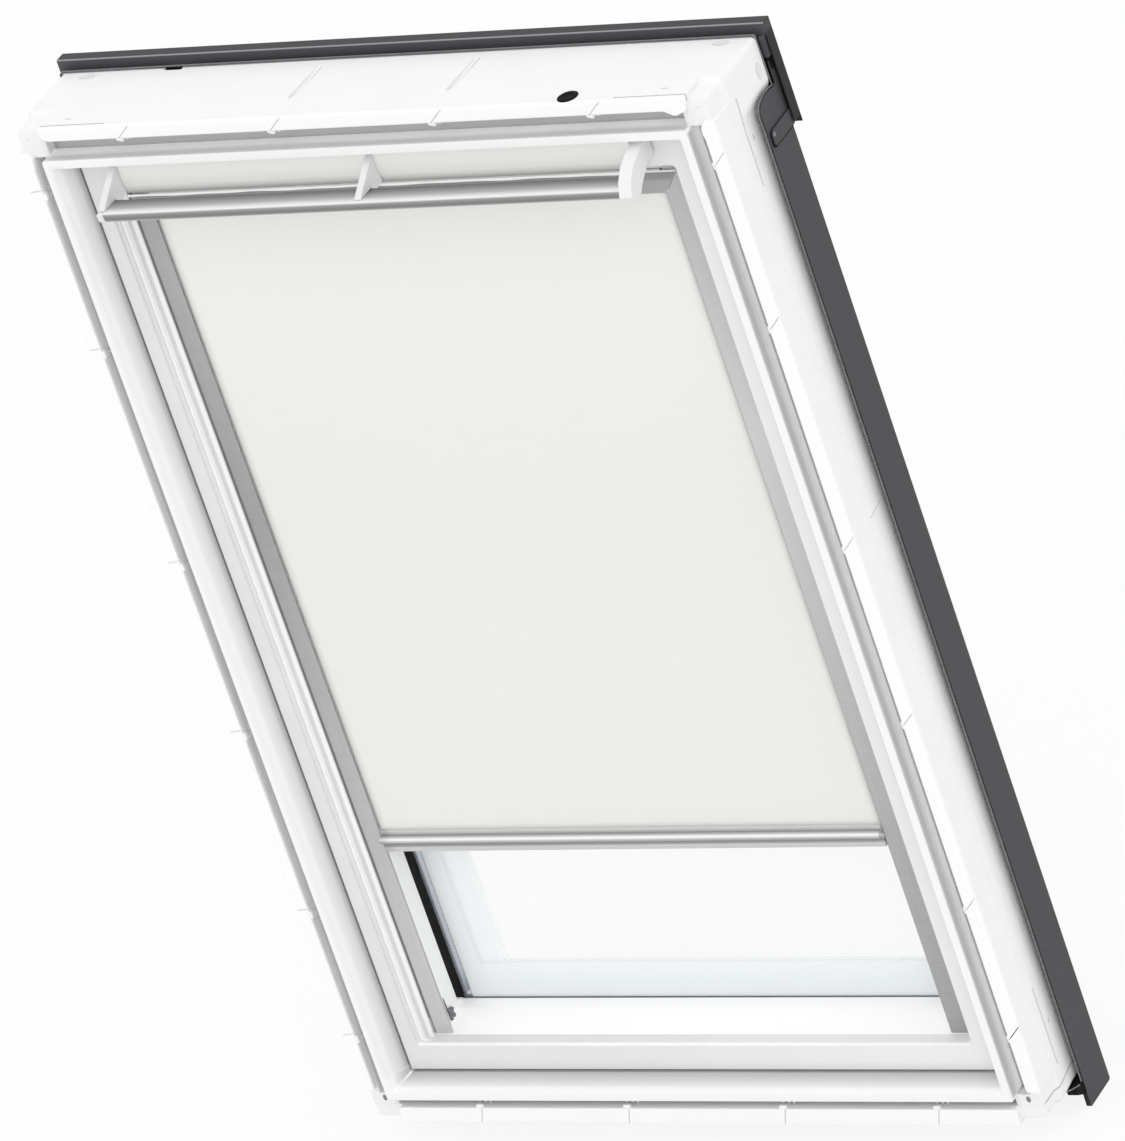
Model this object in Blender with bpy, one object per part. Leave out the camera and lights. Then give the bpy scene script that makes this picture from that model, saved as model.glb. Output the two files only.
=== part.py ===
"""Centre-pivot roof window with a roller blind fitted between its sash stiles.

Metres. +X is to the right seen from the room, +Y points out of the roof, +Z up the window.
The origin is on the bottom face of the sill's outer pads, in the middle of the window.
A depth is measured from the frame's room-side lip, outwards: y_at() turns it into a Y place.
"""

import math

import bmesh
import bpy
from mathutils import Euler, Matrix, Vector

# Whole window
WINDOW_WIDTH = 0.780
WINDOW_HEIGHT = 1.178
ORIGIN_DEPTH = 0.024
JOINT_GAP = 0.0003
METAL_SHEET = 0.0014
OVERRUN = 0.0100

# Frame section: insets from the outside of the pads, depths from the lip
LIP_INSET_SIDE = 0.0294
LIP_INSET_TOP = 0.0335
LIP_INSET_BOTTOM = 0.0315
LIP_WIDTH = 0.0090
GROOVE_WIDTH = 0.0142
GROOVE_DEPTH = 0.0258
PAD_FRONT_DEPTH = 0.0042
PAD_BACK_DEPTH = 0.0420
PAD_NOTCH = 0.0026
NOTCH_DEPTH = 0.0180
PAD_EDGE = 0.0015
NOTCHES_ACROSS = (0.088, 0.258)
NOTCH_HEIGHTS = (0.110, 0.263, 0.479, 0.680, 0.928, 1.109)
BLOCK_FRONT_DEPTH = 0.0115
BLOCK_INSET = 0.0047
BODY_STEP = 0.0006
BEVEL_DEPTH = 0.0245
FRAME_REAR_DEPTH = 0.1195
HEAD_DROP = 0.0035
SILL_REAR_DEPTH = 0.1120
STRIP = (0.0080, 0.0010)
GROMMET_INSET = 0.1545
GROMMET_DEPTH = 0.0170
GROMMET_RADIUS = 0.0108
GROMMET_HEIGHT = 0.0070

# Side skins, head flange, exterior covers and hood
FLANGE_NOTCH_INSET = 0.1300
FLANGE_NOTCH = (0.0200, 0.0070)
RAIL_TOP_DROP = 0.0610
RAIL_BENDS = ((0.0010, 0.0442), (0.0020, 0.0550), (0.0038, 0.0660), (0.0056, 0.0780), (0.0062, 0.0960))
RAIL_CARRIER_DEPTHS = (0.1065, 0.1160)
RAIL_ROOM = 0.0060
COVER_REACH = 0.0030
COVER_FRONT_DEPTH = 0.0820
COVER_BEHIND_FRAME = 0.0095
COVER_DROP = 0.0310
COVER_INSET = 0.0470
APRON_LOW = 0.0040
HOOD_REACH = 0.0070
HOOD_BEHIND_FRAME = 0.0080
HOOD_THICK = 0.0137
HOOD_RISE = 0.0066
HOOD_LIP = 0.0150
HOOD_LENGTH = 0.1150
HOOD_SIDE_LENGTH = 0.1080
STRAP_HEIGHT = 0.0165
STRAP_FRONT_DEPTH = 0.0850
STRAP_LEAN = 0.0120
SCREW_RADIUS = 0.0028
SCREW_HEAD = 0.0014
SCREW_PLACE = (0.0040, 0.0090)

# Sash
SASH_INSET_SIDE = 0.0540
SASH_INSET_TOP = 0.0530
SASH_INSET_BOTTOM = 0.0535
SASH_GAP_SIDE = 0.0025
SASH_GAP_TOP = 0.0042
SASH_GAP_BOTTOM = 0.0038
SASH_FACE = 0.0230
TOP_FACE = 0.0305
BOTTOM_FACE = 0.0248
MOULDING_STEP = 0.0022
MOULDING_DEPTH = 0.0085
CHANNEL_DEPTH = 0.0450
CHANNEL_WIDTH = 0.0208
CHANNEL_RETURN = 0.0037
GLASS_INSET = 0.0475
BOTTOM_GLASS_INSET = 0.0450
SLOPE_START = (0.0355, 0.0328)
GASKET_DEPTH = 0.0730
GASKET_WIDTH = 0.0028
INNER_PANE_DEPTH = 0.0880
PANE_THICK = 0.0040
CAVITY = 0.0090
SPACER_WIDTH = 0.0080
SPACER_EDGE = 0.0078
GLASS_BITE = 0.0100
SASH_REAR_DEPTH = 0.1085
SASH_COVER_DEPTH = 0.1180
SASH_COVER_INSET = 0.0020
PIVOT_DEPTH = 0.0700
PIVOT_RADIUS = 0.0060
PIVOT_PLATE = (0.0300, 0.0700)
SOCKET_THICK = 0.0120
PIN_LENGTH = 0.0180
SEAL_THICK = 0.0013
SEAL_DEPTHS = (0.0930, 0.1000)

# Ventilation flap, its fins and control bar
FLAP_AXIS_DEPTH = 0.0226
FLAP_AXIS_DROP = 0.0805
FLAP_FRONT_DEPTH = 0.0125
FLAP_SHEET = 0.0024
FLAP_TOP_DROP = 0.0490
FLAP_BENDS = ((0.0040, 0.0022), (0.0025, 0.0080), (0.0007, 0.0160), (0.0000, 0.0260))
FIN_THICK = 0.0072
FIN_INSET = 0.04525
ARM_INSETS = (0.0460, 0.0320)
BAR_REAR_DEPTH = -0.0060
BAR_TOP_DROP = 0.0757
BAR_HEIGHT = 0.0090
BAR_INSET = 0.0485
CAP_LENGTH = 0.0070
ROD_RADIUS = 0.0015
FIN_REAR_DEPTH = 0.0220
FIN_FRONT_DEPTH = -0.0295
FIN_TOP_DEPTH = 0.0110
FIN_NOSE_RISE = 0.0022
FIN_TOES = ((0.0150, 0.0035), (0.0190, 0.0142))
FIN_HEEL_RISE = 0.0197
PANEL_CLEARANCE = 0.0004
ARM_NOSE = ((-0.0370, 0.0030), (-0.0340, -0.0005), (-0.0190, -0.0030), (-0.0130, 0.0030), (0.0080, 0.0152),
            (0.0220, 0.0162))
ARM_BACK = ((0.0220, 0.0000), (0.0110, 0.0000), (-0.0040, 0.0035), (-0.0190, 0.0095), (-0.0310, 0.0200))
BAR_EDGES = ((-0.0333, 0.0000), (-0.0060, 0.0020), (-0.0060, 0.0084), (-0.0200, 0.0090), (-0.0330, 0.0090),
             (-0.0345, 0.0075))
LOCK_CASE = (0.0700, 0.0180, 0.0220)
BOLT = (0.0160, 0.0080, 0.0300)
BOLT_RISE = 0.0095
KEEPER_HALF = 0.0140
KEEPER_ROOM = 0.0040

# Roller blind
CASING_BOTTOM_DROP = 0.1253
CASING_HEIGHT = 0.0245
CASING_REAR_DEPTH = 0.0710
CASING_MITRE = 0.77
MOUTH = (0.0463, 0.0510)
TUBE_RADIUS = 0.0075
STUB_RADIUS = 0.0035
ROLL_RADIUS = 0.0103
FABRIC_DEPTH = 0.0470
FABRIC_THICK = 0.0004
FABRIC_CLEARANCE = 0.0030
BLIND_BAR_LOW = 0.3035
BLIND_BAR_HEIGHT = 0.0325
BLIND_BAR_CLEARANCE = 0.0013
BLIND_BAR_REAR = 0.0520
BLIND_BAR_FACE = 0.0445
BLIND_BAR_LIP = (0.0440, 0.0050, 0.0070)
BLIND_BAR_GROOVE = 0.0462
BLIND_BAR_SHOULDER = 0.0245
BEAD_HEIGHT = 0.0137
BLIND_BAR_FRONT = 0.0418
BEAD_RADIUS = 0.0042
GLIDE_SIZE = (0.0140, 0.0024, 0.0240)

HALF_WIDTH = WINDOW_WIDTH / 2
COVER_REAR_DEPTH = FRAME_REAR_DEPTH + COVER_BEHIND_FRAME
HOOD_FRONT_DEPTH = FRAME_REAR_DEPTH + HOOD_BEHIND_FRAME
HOOD_REAR_DEPTH = HOOD_FRONT_DEPTH + HOOD_THICK
LIP_X = HALF_WIDTH - LIP_INSET_SIDE
LIP_TOP = WINDOW_HEIGHT - LIP_INSET_TOP
LIP_BOTTOM = LIP_INSET_BOTTOM
BODY_X = HALF_WIDTH - BODY_STEP
SASH_X = HALF_WIDTH - SASH_INSET_SIDE
FIN_X = SASH_X - FIN_INSET
ARM_X = tuple(SASH_X - inset for inset in ARM_INSETS)
SASH_TOP = WINDOW_HEIGHT - SASH_INSET_TOP
SASH_BOTTOM = SASH_INSET_BOTTOM
REVEAL_X = SASH_X + SASH_GAP_SIDE
REVEAL_TOP = SASH_TOP + SASH_GAP_TOP
REVEAL_BOTTOM = SASH_BOTTOM - SASH_GAP_BOTTOM
PIVOT_Z = (SASH_TOP + SASH_BOTTOM) / 2
STEP_INSET = SASH_FACE + 2 * MOULDING_STEP
CHANNEL_X = SASH_X - STEP_INSET - JOINT_GAP
GLASS_X = SASH_X - GLASS_INSET
GLASS_BOTTOM = SASH_BOTTOM + BOTTOM_GLASS_INSET
COVER_X = HALF_WIDTH + COVER_REACH
HOOD_X = HALF_WIDTH + HOOD_REACH
HOOD_TOP = WINDOW_HEIGHT + HOOD_RISE
OUTER_PANE_DEPTH = INNER_PANE_DEPTH + PANE_THICK + CAVITY
CASING_LOW = WINDOW_HEIGHT - CASING_BOTTOM_DROP
CASING_TOP = CASING_LOW + CASING_HEIGHT
CASING_ROOM_INSET = SASH_TOP - CASING_TOP - 0.0008
GLASS_TOP = SASH_TOP - CASING_ROOM_INSET
CHANNEL_INNER_X = CHANNEL_X - CHANNEL_WIDTH
FABRIC_HALF = CHANNEL_INNER_X - FABRIC_CLEARANCE
BLIND_BAR_HALF = CHANNEL_INNER_X - BLIND_BAR_CLEARANCE
TUBE_DEPTH = FABRIC_DEPTH + FABRIC_THICK + JOINT_GAP + ROLL_RADIUS
TUBE_Z = CASING_LOW + CASING_HEIGHT / 2
FLAP_AXIS_Z = WINDOW_HEIGHT - FLAP_AXIS_DROP
FLAP_TOP_Z = WINDOW_HEIGHT - FLAP_TOP_DROP
BAR_TOP_Z = WINDOW_HEIGHT - BAR_TOP_DROP
TUBE_HALF = FABRIC_HALF + JOINT_GAP


def y_at(depth):
    """The Y place of a depth measured outwards from the frame's room-side lip."""
    return depth - ORIGIN_DEPTH


for obj in list(bpy.data.objects):
    bpy.data.objects.remove(obj)
window = bpy.data.collections.new("roof_window")
cutters = bpy.data.collections.new("cutters")
for collection in (window, cutters):
    bpy.context.scene.collection.children.link(collection)

PLASTIC = ((0.86, 0.86, 0.87), 0.35, 0.0, 1.0)
WARM_PLASTIC = ((0.82, 0.82, 0.79), 0.4, 0.0, 1.0)
PAINTED = ((0.55, 0.55, 0.56), 0.35, 0.0, 1.0)
COVER_PAINT = ((0.085, 0.082, 0.092), 0.45, 0.3, 1.0)
RUBBER = ((0.012, 0.012, 0.013), 0.6, 0.0, 1.0)
METAL = ((0.62, 0.62, 0.61), 0.3, 1.0, 1.0)
CLOTH = ((0.83, 0.84, 0.80), 0.85, 0.0, 1.0)
CLEAR = ((0.90, 0.95, 0.97), 0.02, 0.0, 0.25)


def add_part(name, mesh, look, owner):
    """One named piece with its own material, hung on the empty of its body."""
    colour, roughness, metallic, alpha = look
    made = bpy.data.materials.new(name)
    made.use_nodes = True
    shader = made.node_tree.nodes["Principled BSDF"]
    shader.inputs["Base Color"].default_value = (*colour, 1)
    shader.inputs["Roughness"].default_value = roughness
    shader.inputs["Metallic"].default_value = metallic
    shader.inputs["Alpha"].default_value = alpha
    mesh.materials.clear()
    mesh.materials.append(made)
    part = bpy.data.objects.new(name, mesh)
    window.objects.link(part)
    part.parent = owner
    bpy.context.view_layer.update()
    part.matrix_parent_inverse = owner.matrix_world.inverted()
    return part


def add_empty(name, place, parent=None):
    """A body's turning or sliding point."""
    point = bpy.data.objects.new(name, None)
    point.empty_display_size = 0.03
    window.objects.link(point)
    if parent:
        point.parent = parent
        bpy.context.view_layer.update()
        point.matrix_parent_inverse = parent.matrix_world.inverted()
    point.location = place
    return point


def face_outwards(work):
    """Turn the faces of a closed mesh outwards."""
    bmesh.ops.recalc_face_normals(work, faces=work.faces)
    if work.calc_volume(signed=True) < 0:
        bmesh.ops.reverse_faces(work, faces=work.faces)


def extruded(outline, axis, low, high):
    """A closed outline pushed along X (outline y, z), Y (outline x, z) or Z (outline x, y)."""
    def placed(a, b, t):
        return {"X": (t, a, b), "Y": (a, t, b), "Z": (a, b, t)}[axis]

    def end(value, point):
        return value(*point) if callable(value) else value

    mesh = bpy.data.meshes.new("outline")
    work = bmesh.new()
    start = [work.verts.new(placed(a, b, end(low, (a, b)))) for a, b in outline]
    face = work.faces.new(start)
    pushed = bmesh.ops.extrude_face_region(work, geom=[face])
    made = [item for item in pushed["geom"] if isinstance(item, bmesh.types.BMFace)]
    for vert, (a, b) in zip(made[0].verts, outline_order(made[0], outline, axis)):
        vert.co = placed(a, b, end(high, (a, b)))
    face_outwards(work)
    work.to_mesh(mesh)
    work.free()
    return mesh


def outline_order(face, outline, axis):
    """The outline's points in the order in which the pushed face holds them."""
    pick = {"X": (1, 2), "Y": (0, 2), "Z": (0, 1)}[axis]
    order = []
    for vert in face.verts:
        here = Vector((vert.co[pick[0]], vert.co[pick[1]]))
        order.append(min(outline, key=lambda point: (Vector(point) - here).length))
    return order


def bent(path, thick):
    """The outline of a sheet that follows a path, its thickness laid on the path's left side."""
    inner = []
    for i, corner in enumerate(path):
        corner = Vector(corner)
        before = (corner - Vector(path[i - 1])).normalized() if i else None
        after = (Vector(path[i + 1]) - corner).normalized() if i + 1 < len(path) else None
        first = before or after
        second = after or before
        normal_one = Vector((-first.y, first.x))
        normal_two = Vector((-second.y, second.x))
        bisector = (normal_one + normal_two).normalized()
        inner.append(tuple(corner + bisector * thick / bisector.dot(normal_one)))
    return [tuple(point) for point in path] + inner[::-1]


def flipped(outline):
    return [(-a, b) for a, b in reversed(outline)]


def box_mesh(low, high):
    mesh = bpy.data.meshes.new("box")
    work = bmesh.new()
    low, high = Vector(low), Vector(high)
    bmesh.ops.create_cube(work, size=1.0, matrix=Matrix.LocRotScale((low + high) / 2, None, high - low))
    work.to_mesh(mesh)
    work.free()
    return mesh


def round_mesh(radius, length, centre, axis="Z", sides=20):
    turn = {"X": Euler((0, math.radians(90), 0)), "Y": Euler((math.radians(90), 0, 0)), "Z": Euler()}[axis]
    mesh = bpy.data.meshes.new("round")
    work = bmesh.new()
    bmesh.ops.create_cone(work, cap_ends=True, segments=sides, radius1=radius, radius2=radius,
                          depth=length, matrix=Matrix.LocRotScale(centre, turn, None))
    work.to_mesh(mesh)
    work.free()
    mesh.shade_smooth()
    mesh.set_sharp_from_angle(angle=math.radians(40))
    return mesh


def turned(profile, centre, axis="Z", sides=20):
    """A round piece: (radius, height) points spun about its own axis, laid along X, Y or Z."""
    turn = {"X": Euler((0, math.radians(90), 0)), "Y": Euler((math.radians(-90), 0, 0)), "Z": Euler()}[axis]
    mesh = bpy.data.meshes.new("turned")
    work = bmesh.new()
    points = [work.verts.new((radius, 0, height)) for radius, height in profile]
    edges = [work.edges.new(pair) for pair in zip(points[:-1], points[1:])]
    bmesh.ops.spin(work, geom=points + edges, cent=(0, 0, 0), axis=(0, 0, 1), dvec=(0, 0, 0),
                   angle=math.radians(360), steps=sides, use_merge=True)
    bmesh.ops.remove_doubles(work, verts=work.verts, dist=0.000002)
    face_outwards(work)
    bmesh.ops.transform(work, matrix=Matrix.LocRotScale(centre, turn, None), verts=work.verts)
    work.to_mesh(mesh)
    work.free()
    mesh.shade_smooth()
    mesh.set_sharp_from_angle(angle=math.radians(40))
    return mesh


def trim(part, point, normal):
    """Cut a piece on a plane, drop what lies on the normal's side and close the cut."""
    work = bmesh.new()
    work.from_mesh(part.data)
    cut = bmesh.ops.bisect_plane(work, geom=work.verts[:] + work.edges[:] + work.faces[:],
                                 plane_co=point, plane_no=normal, clear_outer=True)
    edges = [item for item in cut["geom_cut"] if isinstance(item, bmesh.types.BMEdge)]
    bmesh.ops.contextual_create(work, geom=edges)
    face_outwards(work)
    work.to_mesh(part.data)
    work.free()


def cut(part, mesh):
    """Take the shape of a mesh out of a piece."""
    cutter = bpy.data.objects.new("cut_" + part.name, mesh)
    cutters.objects.link(cutter)
    cutter.hide_render = True
    cutter.display_type = "WIRE"
    step = part.modifiers.new(cutter.name, "BOOLEAN")
    step.operation = "DIFFERENCE"
    step.solver = "EXACT"
    step.object = cutter


def ring(name, half_x, low_z, high_z, width, depths, look, owner):
    """A flat rectangular ring round the window's opening."""
    low, high = y_at(depths[0]), y_at(depths[1])
    part = add_part(name, box_mesh((-half_x, low, low_z), (half_x, high, high_z)), look, owner)
    cut(part, box_mesh((width - half_x, low - OVERRUN, low_z + width),
                       (half_x - width, high + OVERRUN, high_z - width)))
    return part


def member(side, section, half_x, low_z, high_z):
    """A mitred bar of a rectangular frame from its section of (inset, depth) points."""
    ease = JOINT_GAP * 0.71
    if side in ("left", "right"):
        sign = -1 if side == "left" else 1
        outline = [(sign * (half_x - inset), y_at(depth)) for inset, depth in section]

        def bottom(x, y):
            return low_z + half_x - abs(x) + ease

        def top(x, y):
            return high_z - half_x + abs(x) - ease
        return extruded(outline, "Z", bottom, top)
    edge = high_z if side == "top" else low_z
    sign = -1 if side == "top" else 1
    outline = [(y_at(depth), edge + sign * inset) for inset, depth in section]

    def right(y, z):
        return half_x - sign * (z - edge) - ease

    def left(y, z):
        return -right(y, z)
    return extruded(outline, "X", left, right)


# Bodies: the frame stands still, the others hang on empties at their joints
frame = add_empty("frame_body", (0, 0, 0))
sash = add_empty("sash_pivot", (0, y_at(PIVOT_DEPTH), PIVOT_Z), frame)
flap = add_empty("flap_axis", (0, y_at(FLAP_AXIS_DEPTH), FLAP_AXIS_Z), sash)
lock = add_empty("lock_travel", (0, y_at(BEVEL_DEPTH), SASH_TOP), sash)
roller = add_empty("roller_axis", (0, y_at(TUBE_DEPTH), TUBE_Z), sash)
blind = add_empty("blind_travel", (0, y_at(FABRIC_DEPTH), BLIND_BAR_LOW), sash)

# Side skins: a sheet dips away from the pads and bends out again under the side cover it carries
carrier_x = COVER_X - METAL_SHEET - JOINT_GAP
rail_path = [(HALF_WIDTH - inset, y_at(depth)) for inset, depth in RAIL_BENDS]
rail_path += [(carrier_x, y_at(depth)) for depth in RAIL_CARRIER_DEPTHS]
rail_bed = bent(rail_path, METAL_SHEET + JOINT_GAP)[:len(rail_path) - 1:-1]
rail_bed += [(HALF_WIDTH + RAIL_ROOM, rail_bed[-1][1]), (HALF_WIDTH + RAIL_ROOM, rail_bed[0][1] - JOINT_GAP),
             (rail_bed[0][0], rail_bed[0][1] - JOINT_GAP)]
rail_top = WINDOW_HEIGHT - RAIL_TOP_DROP


def frame_section(outer, body, rear, reveal):
    """Lip, lining groove, outer pad, body, rear and the bevel back; insets from the lip's outer edge."""
    return [(0, 0), (0, GROOVE_DEPTH), (-GROOVE_WIDTH, GROOVE_DEPTH), (-GROOVE_WIDTH, PAD_FRONT_DEPTH + PAD_EDGE),
            (-GROOVE_WIDTH - PAD_EDGE, PAD_FRONT_DEPTH), (outer + 2 * PAD_EDGE, PAD_FRONT_DEPTH),
            (outer, PAD_FRONT_DEPTH + 2 * PAD_EDGE), (outer, PAD_BACK_DEPTH), (outer + BODY_STEP, PAD_BACK_DEPTH +
             BODY_STEP), (body, rear), (reveal, rear), (reveal, BEVEL_DEPTH), (LIP_WIDTH, 0)]


def free_corners(part, sides, tops):
    """Take out the corner squares in which the corner blocks sit."""
    for sign in sides:
        xs = sorted((sign * LIP_X, sign * (HALF_WIDTH + OVERRUN)))
        for top in tops:
            zs = (LIP_TOP, WINDOW_HEIGHT + OVERRUN) if top else (-OVERRUN, LIP_BOTTOM)
            cut(part, box_mesh((xs[0], y_at(-OVERRUN), zs[0]), (xs[1], y_at(PAD_BACK_DEPTH), zs[1])))


def join(part, mesh):
    """Fuse the shape of a mesh with a piece."""
    cut(part, mesh)
    part.modifiers[-1].operation = "UNION"


def span(sign, near, far):
    """The X range between two distances from the middle, on the left (-1) or right (1) side."""
    return sorted((sign * near, sign * far))


for side, sign in (("left", -1), ("right", 1)):
    section = frame_section(-LIP_INSET_SIDE, LIP_X - BODY_X, FRAME_REAR_DEPTH, LIP_X - REVEAL_X)
    jamb = add_part("frame_jamb_" + side, member(side, section, LIP_X, LIP_BOTTOM, LIP_TOP), PLASTIC, frame)
    cut(jamb, extruded(rail_bed if sign > 0 else flipped(rail_bed), "Z", -OVERRUN, rail_top + JOINT_GAP))
    xs = span(sign, REVEAL_X - OVERRUN, REVEAL_X + SOCKET_THICK + JOINT_GAP)
    half_y, half_z = PIVOT_PLATE[0] / 2 + JOINT_GAP, PIVOT_PLATE[1] / 2 + JOINT_GAP
    cut(jamb, box_mesh((xs[0], y_at(PIVOT_DEPTH) - half_y, PIVOT_Z - half_z),
                       (xs[1], y_at(PIVOT_DEPTH) + half_y, PIVOT_Z + half_z)))
    free_corners(jamb, (sign,), (False, True))
    xs = span(sign, LIP_X + GROOVE_WIDTH - JOINT_GAP, HALF_WIDTH + OVERRUN)
    for height in NOTCH_HEIGHTS:
        cut(jamb, box_mesh((xs[0], y_at(-OVERRUN), height - PAD_NOTCH / 2),
                           (xs[1], y_at(NOTCH_DEPTH), height + PAD_NOTCH / 2)))

head_section = frame_section(-LIP_INSET_TOP, LIP_TOP - WINDOW_HEIGHT + HEAD_DROP, FRAME_REAR_DEPTH,
                             LIP_TOP - REVEAL_TOP)
sill_section = frame_section(-LIP_INSET_BOTTOM, BODY_STEP - LIP_BOTTOM, SILL_REAR_DEPTH,
                             REVEAL_BOTTOM - LIP_BOTTOM)
for name, side, section in (("frame_head", "top", head_section), ("frame_sill", "bottom", sill_section)):
    rail = add_part(name, member(side, section, LIP_X, LIP_BOTTOM, LIP_TOP), PLASTIC, frame)
    for sign in (-1, 1):
        trim(rail, (sign * BODY_X, 0, 0), (sign, 0, 0))
        if side == "bottom":
            cut(rail, extruded(rail_bed if sign > 0 else flipped(rail_bed), "Z", -OVERRUN, LIP_TOP))
    free_corners(rail, (-1, 1), (side == "top",))
    pad_from = (LIP_TOP if side == "top" else -LIP_BOTTOM) + GROOVE_WIDTH - JOINT_GAP
    zs = (pad_from, WINDOW_HEIGHT + OVERRUN) if side == "top" else (-OVERRUN, -pad_from)
    for place in NOTCHES_ACROSS:
        for x in (-place, place):
            cut(rail, box_mesh((x - PAD_NOTCH / 2, y_at(-OVERRUN), zs[0]),
                               (x + PAD_NOTCH / 2, y_at(NOTCH_DEPTH), zs[1])))
head = bpy.data.objects["frame_head"]
for x in (-NOTCHES_ACROSS[0], NOTCHES_ACROSS[0]):
    cut(head, box_mesh((x - STRIP[0] / 2, y_at(PAD_BACK_DEPTH - 0.002), WINDOW_HEIGHT - HEAD_DROP - STRIP[1]),
                       (x + STRIP[0] / 2, y_at(FRAME_REAR_DEPTH - 0.008), WINDOW_HEIGHT + OVERRUN)))
cut(head, box_mesh((-KEEPER_HALF, y_at(-OVERRUN), REVEAL_TOP - OVERRUN),
                   (KEEPER_HALF, y_at(BEVEL_DEPTH + BOLT[1] + 2 * KEEPER_ROOM), LIP_TOP - LIP_WIDTH)))
grommet_place = Vector((HALF_WIDTH - GROMMET_INSET, y_at(GROMMET_DEPTH), WINDOW_HEIGHT))
cut(head, round_mesh(GROMMET_RADIUS + JOINT_GAP, 2 * GROMMET_HEIGHT, grommet_place))
grommet_shape = [(0, -GROMMET_HEIGHT + JOINT_GAP), (GROMMET_RADIUS, -GROMMET_HEIGHT + JOINT_GAP),
                 (GROMMET_RADIUS, 0.0006), (GROMMET_RADIUS * 0.8, 0.0012), (GROMMET_RADIUS * 0.55, -0.0004),
                 (GROMMET_RADIUS * 0.5, -0.0015), (0, -0.0015)]
add_part("cable_grommet", turned(grommet_shape, grommet_place), RUBBER, frame)

for side, sign in (("left", -1), ("right", 1)):
    xs = span(sign, LIP_X + JOINT_GAP, HALF_WIDTH - BLOCK_INSET)
    for end, zs in (("bottom", (BLOCK_INSET, LIP_BOTTOM - JOINT_GAP)),
                    ("top", (LIP_TOP + JOINT_GAP, WINDOW_HEIGHT - BLOCK_INSET))):
        add_part("corner_block_" + end + "_" + side,
                 box_mesh((xs[0], y_at(BLOCK_FRONT_DEPTH), zs[0]), (xs[1], y_at(PAD_BACK_DEPTH) - JOINT_GAP, zs[1])),
                 PLASTIC, frame)

# White side skins and the head's bare metal flange
rail_outline = bent(rail_path, METAL_SHEET)
for side, outline in (("left", flipped(rail_outline)), ("right", rail_outline)):
    add_part("flange_rail_" + side, extruded(outline, "Z", BODY_STEP, rail_top), PLASTIC, frame)
head_rail = add_part("head_flange", box_mesh(
    (-BODY_X, y_at(FRAME_REAR_DEPTH + JOINT_GAP), REVEAL_TOP + JOINT_GAP),
    (BODY_X, y_at(FRAME_REAR_DEPTH + JOINT_GAP + METAL_SHEET), WINDOW_HEIGHT - HEAD_DROP)), METAL, frame)
notch_x = FLANGE_NOTCH_INSET - HALF_WIDTH
cut(head_rail, box_mesh((notch_x - FLANGE_NOTCH[0] / 2, y_at(FRAME_REAR_DEPTH),
                         WINDOW_HEIGHT - HEAD_DROP - FLANGE_NOTCH[1]),
                        (notch_x + FLANGE_NOTCH[0] / 2, y_at(FRAME_REAR_DEPTH) + OVERRUN, WINDOW_HEIGHT)))

# Exterior covers and hood
cover_path = [(COVER_X, y_at(COVER_FRONT_DEPTH)), (COVER_X, y_at(COVER_REAR_DEPTH)),
              (HALF_WIDTH - COVER_INSET, y_at(COVER_REAR_DEPTH))]
cover_outline = bent(cover_path, METAL_SHEET)
for side, outline in (("left", flipped(cover_outline)), ("right", cover_outline)):
    add_part("side_cover_" + side, extruded(outline, "Z", -COVER_DROP, WINDOW_HEIGHT - RAIL_TOP_DROP),
             COVER_PAINT, frame)
apron_path = [(y_at(SILL_REAR_DEPTH + 0.0010), REVEAL_BOTTOM - 0.0060), (y_at(COVER_REAR_DEPTH), REVEAL_BOTTOM - 0.0075),
              (y_at(COVER_REAR_DEPTH), APRON_LOW)]
apron_half = HALF_WIDTH - COVER_INSET - 0.0010
add_part("bottom_cover", extruded(bent(apron_path, -METAL_SHEET), "X", -apron_half, apron_half), COVER_PAINT, frame)

hood = add_part("hood", box_mesh((-HOOD_X, y_at(HOOD_FRONT_DEPTH), HOOD_TOP - HOOD_LENGTH),
                                 (HOOD_X, y_at(HOOD_REAR_DEPTH), HOOD_TOP)), COVER_PAINT, frame)
cut(hood, box_mesh((METAL_SHEET - HOOD_X, y_at(HOOD_FRONT_DEPTH) + METAL_SHEET, HOOD_TOP - HOOD_LENGTH - OVERRUN),
                   (HOOD_X - METAL_SHEET, y_at(HOOD_REAR_DEPTH) - METAL_SHEET, HOOD_TOP - METAL_SHEET)))
cut(hood, box_mesh((METAL_SHEET - HOOD_X, y_at(HOOD_FRONT_DEPTH) - OVERRUN, HOOD_TOP - HOOD_LENGTH - OVERRUN),
                   (HOOD_X - METAL_SHEET, y_at(HOOD_FRONT_DEPTH) + 2 * METAL_SHEET, HOOD_TOP - HOOD_LIP)))
cut(hood, box_mesh((-HOOD_X - OVERRUN, y_at(HOOD_FRONT_DEPTH) - OVERRUN, HOOD_TOP - HOOD_LENGTH - OVERRUN),
                   (HOOD_X + OVERRUN, y_at(HOOD_REAR_DEPTH) - METAL_SHEET, HOOD_TOP - HOOD_SIDE_LENGTH)))

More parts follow.
